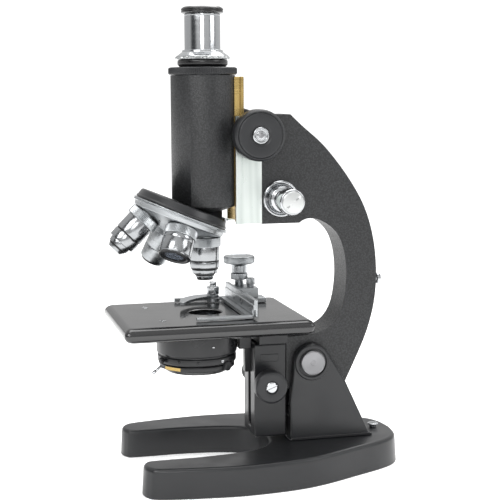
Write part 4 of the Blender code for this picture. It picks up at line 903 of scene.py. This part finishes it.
draw_low, draw_high = corners("draw_tube")
draw_tube = turned("draw_tube",
                   [(11.6, draw_low.z), (12.5, draw_low.z), (12.5, draw_high.z - 1.7),
                    (12.36, draw_high.z - 1.6), (12.36, draw_high.z - 1.3), (12.5, draw_high.z - 1.2),
                    (12.5, draw_high.z - 0.3), (12.3, draw_high.z), (11.6, draw_high.z)], (0, 0, 0),
                   chrome, ease=0.06, sides=144)
fitted(draw_tube, "draw_tube", "chrome", "draw_tube")
eye_low, eye_high = corners("eyepiece_body")
CAP = draw_high.z + 0.3
eye_cap = turned(
    "eyepiece_cap",
    [(9.9, CAP), (13.6, CAP), (14.3, CAP + 0.3), (14.7, CAP + 0.7), (14.7, CAP + 1.3),
     (14.3, CAP + 1.45), (14.3, CAP + 1.75), (14.7, CAP + 1.9), (14.7, CAP + 2.8), (14.2, CAP + 3.5),
     (12.9, eye_high.z), (6.8, eye_high.z), (4.6, eye_high.z - 1.2), (4.5, eye_high.z - 2.3),
     (9.9, eye_high.z - 2.3)], (0, 0, 0), buffed_black, ease=0.14, sides=128)
fitted(eye_cap, "eyepiece", "knob_plastic", "eyepiece_body")
eye_barrel = turned("eyepiece_barrel",
                    [(10.0, eye_low.z), (11.2, eye_low.z), (11.3, CAP - 0.02), (10.0, CAP - 0.02)],
                    (0, 0, 0), chrome, ease=0.15)
fitted(eye_barrel, "eyepiece", "chrome")

# Crown glass: clear, with the faint blue bloom of a coated surface.
crown_glass = bpy.data.materials.new("coated_crown_glass")
crown_glass.use_nodes = True
crown_surface = crown_glass.node_tree.nodes["Principled BSDF"]
crown_tree = crown_glass.node_tree
bloom = add(crown_tree, "LayerWeight", {"Blend": 0.35})
crown_colour = stops(add(crown_tree, "ValToRGB", {0: bloom.outputs["Facing"]}), (0.0, "#dfe8f2"),
                     (1.0, "#93a4c4"))
crown_tree.links.new(crown_colour, crown_surface.inputs["Base Color"])
crown_dust = add(crown_tree, "TexNoise",
                 {"Vector": add(crown_tree, "TexCoord").outputs["Object"], "Scale": scale_for(2),
                  "Detail": 4.0})
crown_rough = add(crown_tree, "MapRange",
                  {"Value": crown_dust.outputs["Fac"], "From Min": 0.4, "From Max": 0.8, "To Min": 0.02,
                   "To Max": 0.09})
crown_tree.links.new(crown_rough.outputs[0], crown_surface.inputs["Roughness"])
crown_surface.inputs["IOR"].default_value = 1.52
crown_surface.inputs["Transmission Weight"].default_value = 0.85
for node_name, body in (("eye_lens", "eyepiece"), ("field_lens", "eyepiece"),
                        ("condenser_lens", "condenser")):
    lens_low, lens_high = corners(node_name)
    radius = (lens_high.y - lens_low.y) / 2
    centre = ((lens_low.x + lens_high.x) / 2 - AXIS_X, 0, lens_low.z)
    rise = lens_high.z - lens_low.z
    edge = 0.5 * rise
    dome = [(radius * math.cos(math.radians(turn)), edge + (rise - edge) * math.sin(math.radians(turn)))
            for turn in range(0, 90, 10)]
    disc = turned(node_name + "_glass", [(0, 0), (radius, 0), *dome, (0, rise)], centre, crown_glass,
                  ease=0.05)
    fitted(disc, body, "optical_glass", node_name)

# ---------------------------------------------------------------- nosepiece
# A tilted black plate is screwed under the tube. The turret turns on a steel pivot below it: a chromed
# rim with a double edge, and a satin cone underneath whose four seats hold the objectives.

# Satin nickel: a warm mid grey plate over brass, brushed round, so its glints are broad and hazy.
satin_nickel = machined("satin_nickel_plate", "#a7aaac", 0.32, ring=0.9, contrast=0.09)


def under(radius):
    """How far below the apex the turret's cone lies at a radius: square to each objective's axis."""
    return 58.2 * math.cos(NOSE_TILT) - (radius - 58.2 * math.sin(NOSE_TILT)) * math.tan(NOSE_TILT)


nose_plate = turned("nosepiece_plate",
                    [(0, -43.8), (33.6, -43.8), (33.6, -42.7), (32.9, -41.9), (31.6, -38.2),
                     (30.8, -37.5), (0, -37.5)], APEX, stoved_enamel, NOSE_UP, ease=0.35, sides=128)
joined(nose_plate, rod("plate_neck", 12.8, 172, 187.3, (0, 0, 0), stoved_enamel), how="UNION")
joined(nose_plate, rod("neck_trim", 44, -83.8, -43.8, APEX, stoved_enamel, NOSE_UP))
joined(nose_plate, rod("light_way", 8, 100, 250, (0, 0, 0), stoved_enamel),
       rod("pivot_way", 3.3, -48.8, -39.1, APEX, stoved_enamel, NOSE_UP))
fitted(nose_plate, "tube", "black_enamel", "nosepiece_plate")
RIM = -46.3
turret = turned("turret",
                [(3.3, -44.1), (34.2, -44.1), (34.7, -44.4), (34.7, -44.9), (34.3, -45.1),
                 (34.3, -45.35), (34.8, -45.6), (34.8, -46.0), (33.4, RIM), (32.9, -under(32.9) + 0.3),
                 (32.4, -under(32.4)), (6.2, -under(6.2)), (6.2, -under(6.2) + 4),
                 (3.3, -under(6.2) + 4)], APEX, satin_nickel, NOSE_UP, ease=0.12, sides=144)
fitted(turret, "turret", "satin_nickel", "nosepiece_turret")
pivot_head = -under(6.2) + 3.7
pivot = turned("turret_pivot",
               [(0, pivot_head - 3), (4.4, pivot_head - 3), (5.0, pivot_head - 2.4), (5.0, pivot_head),
                (3.0, pivot_head), (3.0, -39.5), (0, -39.5)], APEX, turned_steel, NOSE_UP, ease=0.2)
fitted(pivot, "tube", "grey_steel", "nosepiece_pivot")
way = Matrix.Rotation(NOSE_TILT, 3, "Y")
for number, turn in enumerate((8, -12)):
    bend = math.radians(turn)
    seat = way @ Vector((31.0 * math.cos(bend), 31.0 * math.sin(bend), -37.6))
    place = (APEX[0] + seat.x, seat.y, APEX[2] + seat.z)
    catch = turned(f"click_screw_{number}",
                   [(0, -2), (1.2, -2), (1.2, -0.2), (2.0, 0), (2.0, 1.0), (1.4, 1.4), (0, 1.4)], place,
                   chrome, NOSE_UP, ease=0.12, sides=32)
    fitted(slotted(catch, tuple(Vector(place) + 1.3 * Vector(NOSE_UP)), NOSE_UP, 0.5, 40), "tube",
           "chrome")

# ---------------------------------------------------------------- objectives
# Four chromed objectives, each a stack of turned sections: a knurled grip, a barrel, a black band
# and a stepped nose with a small front lens sunk in it.

# Worn chrome: greyer than the tube's, with fine lathe rings and a hazy glint.
worn_chrome = machined("worn_chrome_plate", "#a0a2a4", 0.2, ring=0.8, contrast=0.07)
# Blackened brass: near black, with a low sheen like the inside of an instrument.
blackened = coated("blackened_brass", "#17181a", 0.3, 3.0, 0.01, gloss=0.5, uneven=0.06)
SEAT = -58.5
GRIP = SEAT - 6.4


def hung(place):
    """The axis of the objective at a place round the turret, pointing back up to the apex."""
    turn = math.radians(place)
    side = Vector((math.sin(NOSE_TILT) * math.cos(turn), math.sin(NOSE_TILT) * math.sin(turn),
                   math.cos(NOSE_TILT)))
    return (-side.x * math.cos(NOSE_TILT) + side.z * math.sin(NOSE_TILT), -side.y,
            side.x * math.sin(NOSE_TILT) + side.z * math.cos(NOSE_TILT))


def objective(name, place, sections, glass_radius):
    """One objective: a knurled nickel grip, then sections, and a front lens sunk in the last one.
    A section is its finish, the radius at its top, the radius at its end, and its length."""
    axis = hung(place)
    main = turned(name,
                  [(0, SEAT + 3), (7, SEAT + 3), (7, SEAT), (11.2, SEAT), (11.6, SEAT - 0.5),
                   (11.6, GRIP + 0.5), (11.2, GRIP), (0, GRIP)], APEX, satin_nickel, axis, ease=0.12,
                  ribs=76, rib_depth=0.4)
    made = [main]
    depth = GRIP - 0.02
    for number, (material, first, last, length) in enumerate(sections):
        end = depth - length
        ending = number == len(sections) - 1
        if ending:
            outline = [(0, depth), (first, depth), (last, end), (glass_radius, end),
                       (glass_radius - 0.7, end + 1.2), (0, end + 1.2)]
        else:
            outline = [(0, depth), (first, depth), (last, end), (0, end)]
        made.append(turned(f"{name}_section_{number}", outline, APEX, material, axis, ease=0.3,
                           sides=112))
        depth = end - 0.02
    front = turned(f"{name}_front_lens",
                   [(0, end + 1.15), (0.86 * glass_radius, end + 1.15),
                    (0.55 * glass_radius, end + 0.7), (0, end + 0.55)], APEX, crown_glass, axis,
                   ease=0.1, sides=64)
    made.append(front)
    return made


high = objective("objective_high", 0,
                 [(worn_chrome, 10.6, 10.6, 9.6), (blackened, 10.3, 10.3, 0.9),
                  (worn_chrome, 10.6, 10.6, 4.2), (blackened, 10.2, 9.6, 1.7),
                  (worn_chrome, 9.3, 8.9, 2.8), (blackened, 7.2, 6.9, 1.5),
                  (worn_chrome, 6.7, 5.6, 3.0)], 3.6)
low = objective("objective_low", 270,
                [(worn_chrome, 10.9, 10.9, 3.0), (worn_chrome, 11.2, 11.2, 9.4),
                 (worn_chrome, 11.3, 11.7, 1.4), (blackened, 11.4, 10.7, 0.9)], 9.4)
oil = objective("objective_oil", 180,
                [(worn_chrome, 10.1, 10.1, 12.4), (blackened, 9.7, 9.7, 0.9),
                 (worn_chrome, 10.1, 9.9, 6.6), (worn_chrome, 8.2, 7.6, 3.4),
                 (blackened, 7.0, 6.6, 1.1), (worn_chrome, 6.4, 5.2, 2.2)], 3.2)
medium = objective("objective_medium", 90,
                   [(satin_nickel, 9.8, 9.8, 13.0), (satin_nickel, 9.4, 9.4, 0.8),
                    (satin_nickel, 9.8, 9.6, 10.0), (blackened, 9.0, 8.4, 1.9)], 5.4)
for name, made in (("objective_high", high), ("objective_low", low), ("objective_oil", oil),
                   ("objective_medium", medium)):
    for piece in made:
        nodes = (name,) if piece is made[0] else ()
        fitted(piece, "turret", "optical_glass" if piece is made[-1] else "chrome", *nodes)

# ---------------------------------------------------------------- substage
# A box-shaped bracket under the stage holds the condenser's rack and pinion. A slotted screw fixes the
# large near knob to the pinion shaft, and the far knob is a smaller one.

SUBSTAGE = (40, 0, 64.7)
guide_box = block("substage_box", (32.4, -15, 24), (56.0, 15, 92), stoved_enamel)
joined(guide_box, block("rack_way", (20, -3.2, 30), (44.0, 3.2, 99), stoved_enamel),
       rod("rack_way_end", 3.2, 31.0, 45, (0, 0, 0), stoved_enamel),
       rod("knob_way", 2.8, -40, 40, SUBSTAGE, stoved_enamel, NEAR))
eased(guide_box, 1.3, 4, 40)
fitted(guide_box, "limb", "black_enamel", "substage_guide")
patch = block("box_cover_plate", (36.5, -15.35, 79.0), (50.0, -14.6, 84.5), stoved_enamel)
eased(patch, 0.3, 2)
fitted(patch, "limb", "black_enamel")

near_face = -corners("substage_knob_near")[0].y
near_knob = turned(
    "substage_knob_near",
    [(0, near_face - 3.7), (2.8, near_face - 3.7), (2.8, 16), (5.5, 16), (5.5, near_face - 9.4),
     (6.2, near_face - 9), (10.8, near_face - 9), (11.6, near_face - 8.2), (11.6, near_face - 1.4),
     (10.6, near_face - 0.3), (9.6, near_face), (4.7, near_face), (4.4, near_face - 1.4),
     (0, near_face - 1.4)], SUBSTAGE, phenolic, NEAR, ease=0.2)
fitted(near_knob, "substage_knob", "knob_plastic", "substage_knob_near")
place = beside(SUBSTAGE, NEAR, 0, 0, near_face - 0.1)
knob_screw = turned("substage_knob_screw", [(0, -1.2), (4.1, -1.2), (4.1, -0.6), (3.4, -0.1), (0, 0)],
                    place, chrome, NEAR, ease=0.15, sides=48)
fitted(slotted(knob_screw, place, NEAR, 0.9, 20), "substage_knob", "chrome")
far_face = corners("substage_knob_far")[1].y
far_knob = turned("substage_knob_far",
                  [(0, far_face - 1.7), (2.8, far_face - 1.7), (2.8, 16), (7.0, 16), (7.8, 16.8),
                   (7.8, far_face - 1.0), (6.8, far_face), (0, far_face)], SUBSTAGE, phenolic, FAR,
                  ease=0.2, ribs=44, rib_depth=0.3)
fitted(far_knob, "substage_knob", "knob_plastic", "substage_knob_far")
substage_pinion = gear("substage_pinion", SUBSTAGE, 2.6, 3.4, 13, -2.9, 2.9, turned_steel, NEAR)
joined(substage_pinion, rod("substage_shaft", 2.5, -22.5, 31, SUBSTAGE, turned_steel, NEAR, sides=48),
       how="UNION")
fitted(substage_pinion, "substage_knob", "grey_steel", "substage_pinion")

# ---------------------------------------------------------------- condenser
# A blackened two-lens condenser in a ring mount. Its lower bowl is slotted for the iris lever, which
# turns the iris ring. A strip of bare brass shows through the slot, and small screws hold the ring.

cond_low, cond_high = corners("condenser_body")
COND = ((cond_low.x + cond_high.x) / 2 - AXIS_X, 0, 0)
COND_RADIUS = (cond_high.y - cond_low.y) / 2
condenser = turned("condenser_body",
                   [(17, 73.6), (21.5, 73.6), (23.6, 75.2), (25.2, 76.3), (25.3, 80.4), (27.7, 81.0),
                    (28.1, 81.6), (28.1, 85.6), (27.2, 86.0), (27.2, 87.0), (28.3, 87.3),
                    (COND_RADIUS, 87.9), (COND_RADIUS, 102.0), (27.9, 103.0), (17, 103.0)], COND,
                   blackened, ease=0.3, sides=144)
fitted(condenser, "condenser", "black_enamel", "condenser_body")
carrier = block("condenser_carrier", (22.8, -9, 88), (31.8, 9, 102), stoved_enamel)
joined(carrier, block("carrier_slide", (28.4, -2.9, 69.7), (36.3, 2.9, 91), stoved_enamel), how="UNION")
joined(carrier, rod("carrier_round", COND_RADIUS + 0.3, 50, 150, COND, stoved_enamel))
eased(carrier, 0.5, 2, 40)
fitted(carrier, "condenser", "black_enamel", "condenser_carrier")


def level(turn):
    """A level direction, this many degrees round from the rear."""
    return (math.cos(math.radians(turn)), math.sin(math.radians(turn)), 0)


def off_condenser(way, reach, height):
    """A place this far from the condenser's axis along a level direction."""
    return (COND[0] + reach * way[0], reach * way[1], height)


CONDENSER_SCREWS = ((-62, 83.6, 1.3, chrome, "chrome"), (-100, 83.6, 1.1, blackened, "black_enamel"),
                    (-78, 94.5, 0.9, chrome, "chrome"), (-128, 84.0, 1.1, blackened, "black_enamel"))
for number, (turn, height, radius, material, slot) in enumerate(CONDENSER_SCREWS):
    way = level(turn)
    place = off_condenser(way, (COND_RADIUS if height > 87 else 28.1) + 0.5, height)
    dot = turned(f"condenser_screw_{number}",
                 [(0, -1.5), (radius, -1.5), (radius, -0.3), (0.7 * radius, 0), (0, 0)], place,
                 material, way, ease=0.1, sides=28)
    fitted(slotted(dot, place, way, 0.35, 35 * number), "condenser", slot)
lug_way = level(204)
lug = turned("centring_screw",
             [(0, -2), (1.3, -2), (1.3, 0.9), (2.1, 1.1), (2.1, 3.4), (1.6, 3.8), (0, 3.8)],
             off_condenser(lug_way, 28.2, 84.0), blackened, lug_way, ease=0.15, ribs=20, rib_depth=0.2)
fitted(lug, "condenser", "black_enamel")
stud_way = level(-52)
stud = turned("centring_knob",
              [(0, -2), (1.6, -2), (1.6, 0.6), (3.4, 1.0), (3.6, 1.4), (3.6, 3.4), (3.0, 4.0),
               (0, 4.0)], off_condenser(stud_way, 25.4, 79.6), phenolic, stud_way, ease=0.2, ribs=28,
              rib_depth=0.25)
fitted(stud, "condenser", "knob_plastic")

iris = turned("iris_ring", [(25.6, 76.9), (26.9, 76.9), (26.9, 79.9), (25.6, 79.9)], COND, blackened,
              ease=0.25, sides=144)
arc_plan = bend_points(COND, 27.1, -157, -127, 12) + bend_points(COND, 26.5, -127, -157, 12)
arc_rings = [[(AXIS_X + x, y, z) for x, y in arc_plan] for z in (77.3, 79.5)]
fitted(stacked("iris_brass_arc", arc_rings, aged_brass), "iris", "brass")
LEVER_WAY = Vector((-0.8, -0.1, -0.6)).normalized()
lever_root = (COND[0] - 25.9, -3, 78.2)
lever = turned("iris_lever",
               [(0, -1), (0.9, -1), (0.9, 4.4), (0.8, 5.6), (1.15, 6.4), (1.15, 8.2), (0.7, 8.9),
                (0, 8.9)], lever_root, chrome, tuple(LEVER_WAY), ease=0.15, sides=36)
fitted(iris, "iris", "black_enamel", "iris_ring")
fitted(lever, "iris", "chrome")

# ---------------------------------------------------------------- mechanical stage
# A satin-nickel cross slide stands across the stage. Its upright plate carries the slide holder and a
# curved spring finger, and its bridge carries two coaxial knobs, one for each direction.

rail_low, rail_high = corners("stage_rail")
rail = block("stage_rail", (rail_low.x - AXIS_X, rail_low.y, rail_low.z),
             (rail_high.x - AXIS_X, rail_high.y, rail_high.z), satin_nickel)
eased(rail, 0.4, 2)
fitted(rail, "limb", "satin_nickel", "stage_rail")
cross = block("cross_plate", (25.6, -39, 116.3), (28.8, 47, 128.3), satin_nickel)
joined(cross, block("bridge", (26.6, 24, 119.0), (45.8, 45, 126.4), satin_nickel), how="UNION")
KNOBS = (34.6, 38, 0)
joined(cross, rod("column_way", 3.6, 123.0, 200, KNOBS, satin_nickel, sides=64),
       block("scale_step", (20, -50, 124.6), (26.2, 60, 140), satin_nickel),
       block("near_end_step", (20, -50, 110), (27.2, -35.5, 121), satin_nickel))
eased(cross, 0.35, 3)
fitted(cross, "cross_slide", "satin_nickel", "cross_plate")
for number, y in enumerate((-30, -4, 18)):
    place = (25.5, y, 120.6)
    pin = turned(f"plate_screw_{number}", [(0, -1), (1.5, -1), (1.5, -0.2), (1.0, 0.2), (0, 0.2)],
                 place, turned_steel, FRONT, ease=0.1, sides=32)
    fitted(slotted(pin, (25.3, y, 120.6), FRONT, 0.4, 30 * number), "cross_slide", "grey_steel")
bridge_top = corners("bridge_screw")[0].z
bridge_screw = turned(
    "bridge_screw",
    [(0, bridge_top), (2.6, bridge_top), (2.6, bridge_top + 1.6), (3.2, bridge_top + 1.9),
     (3.2, bridge_top + 6.2), (2.7, bridge_top + 6.7), (0, bridge_top + 6.7)], (41, 29, 0),
    satin_nickel, ease=0.15, ribs=30, rib_depth=0.22)
fitted(bridge_screw, "cross_slide", "satin_nickel", "bridge_screw")
lower_low, lower_high = corners("x_knob_lower")
lower = turned("cross_knob",
               [(1.9, lower_low.z), (3.3, lower_low.z), (3.3, lower_high.z - 4.6),
                (6.0, lower_high.z - 4.6), (6.4, lower_high.z - 4.2), (6.4, lower_high.z - 0.6),
                (6.0, lower_high.z), (1.9, lower_high.z)], KNOBS, satin_nickel, ease=0.2, ribs=52,
               rib_depth=0.28)
fitted(lower, "x_knob", "satin_nickel", "x_knob_lower")
upper_low, upper_high = corners("y_knob_upper")
TOP = upper_high.z
upper = turned("along_knob",
               [(0, upper_low.z), (1.6, upper_low.z), (1.6, TOP - 12.8), (5.4, TOP - 12.8),
                (5.8, TOP - 12.4), (5.8, TOP - 7.4), (6.6, TOP - 6.6), (10.6, TOP - 5.8),
                (11.6, TOP - 5.0), (11.6, TOP - 1.0), (10.9, TOP - 0.3), (9.2, TOP), (8.8, TOP - 0.4),
                (0, TOP - 0.4)], KNOBS, satin_nickel, ease=0.2, ribs=86, rib_depth=0.32)
fitted(upper, "y_knob", "satin_nickel", "y_knob_upper")

hold_low, hold_high = corners("slide_holder_frame")
POST = (14.5, 38.6, 0)
holder = block("slide_holder", (21.3, hold_low.y, 115.3), (25.3, hold_high.y, 117.7), satin_nickel)
joined(holder,
       block("near_arm", (hold_low.x - AXIS_X, hold_low.y, 115.35), (24.3, hold_low.y + 4, 117.65),
             satin_nickel),
       block("far_arm", (hold_low.x - AXIS_X, hold_high.y - 4, 115.35), (24.3, hold_high.y, 117.65),
             satin_nickel),
       rod("post_lug", 4.7, 115.4, 117.6, POST, satin_nickel, sides=64), how="UNION")
eased(holder, 0.3, 2, 40)
fitted(holder, "slide_holder", "satin_nickel", "slide_holder_frame")
post_low, post_high = corners("finger_post")
POST_TOP = post_high.z
post = turned("finger_post",
              [(0, post_low.z), (1.6, post_low.z), (1.6, POST_TOP - 9.4), (4.3, POST_TOP - 9.4),
               (4.7, POST_TOP - 9.0), (4.7, POST_TOP - 4.2), (4.3, POST_TOP - 3.7),
               (2.8, POST_TOP - 3.5), (2.5, POST_TOP - 2.6), (2.8, POST_TOP - 1.8),
               (2.8, POST_TOP - 0.4), (2.2, POST_TOP), (0, POST_TOP)], POST, chrome, ease=0.2, sides=64)
fitted(post, "slide_holder", "chrome", "finger_post")
outer = flowing([(-3, 4.6), (-15, 1.5), (-26, -10), (-30.5, -27)], 8)
inner = flowing([(-27.6, -29), (-21, -18), (-11, -9), (-2, -4.4)], 8)
blade_plan = outer + inner + bend_points((0, 0), 4.4, -105, 105, 14)
blade_low, blade_high = corners("spring_finger_blade")
blade_rings = [[(AXIS_X + POST[0] + x, POST[1] + y, z) for x, y in blade_plan] for z in (blade_low.z,
                                                                                         blade_high.z)]
blade = stacked("spring_finger", blade_rings, satin_nickel)
joined(blade, rod("blade_eye", 1.9, 100, 130, POST, satin_nickel, sides=48))
eased(blade, 0.45, 3, 50)
fitted(blade, "spring_finger", "satin_nickel", "spring_finger_blade")
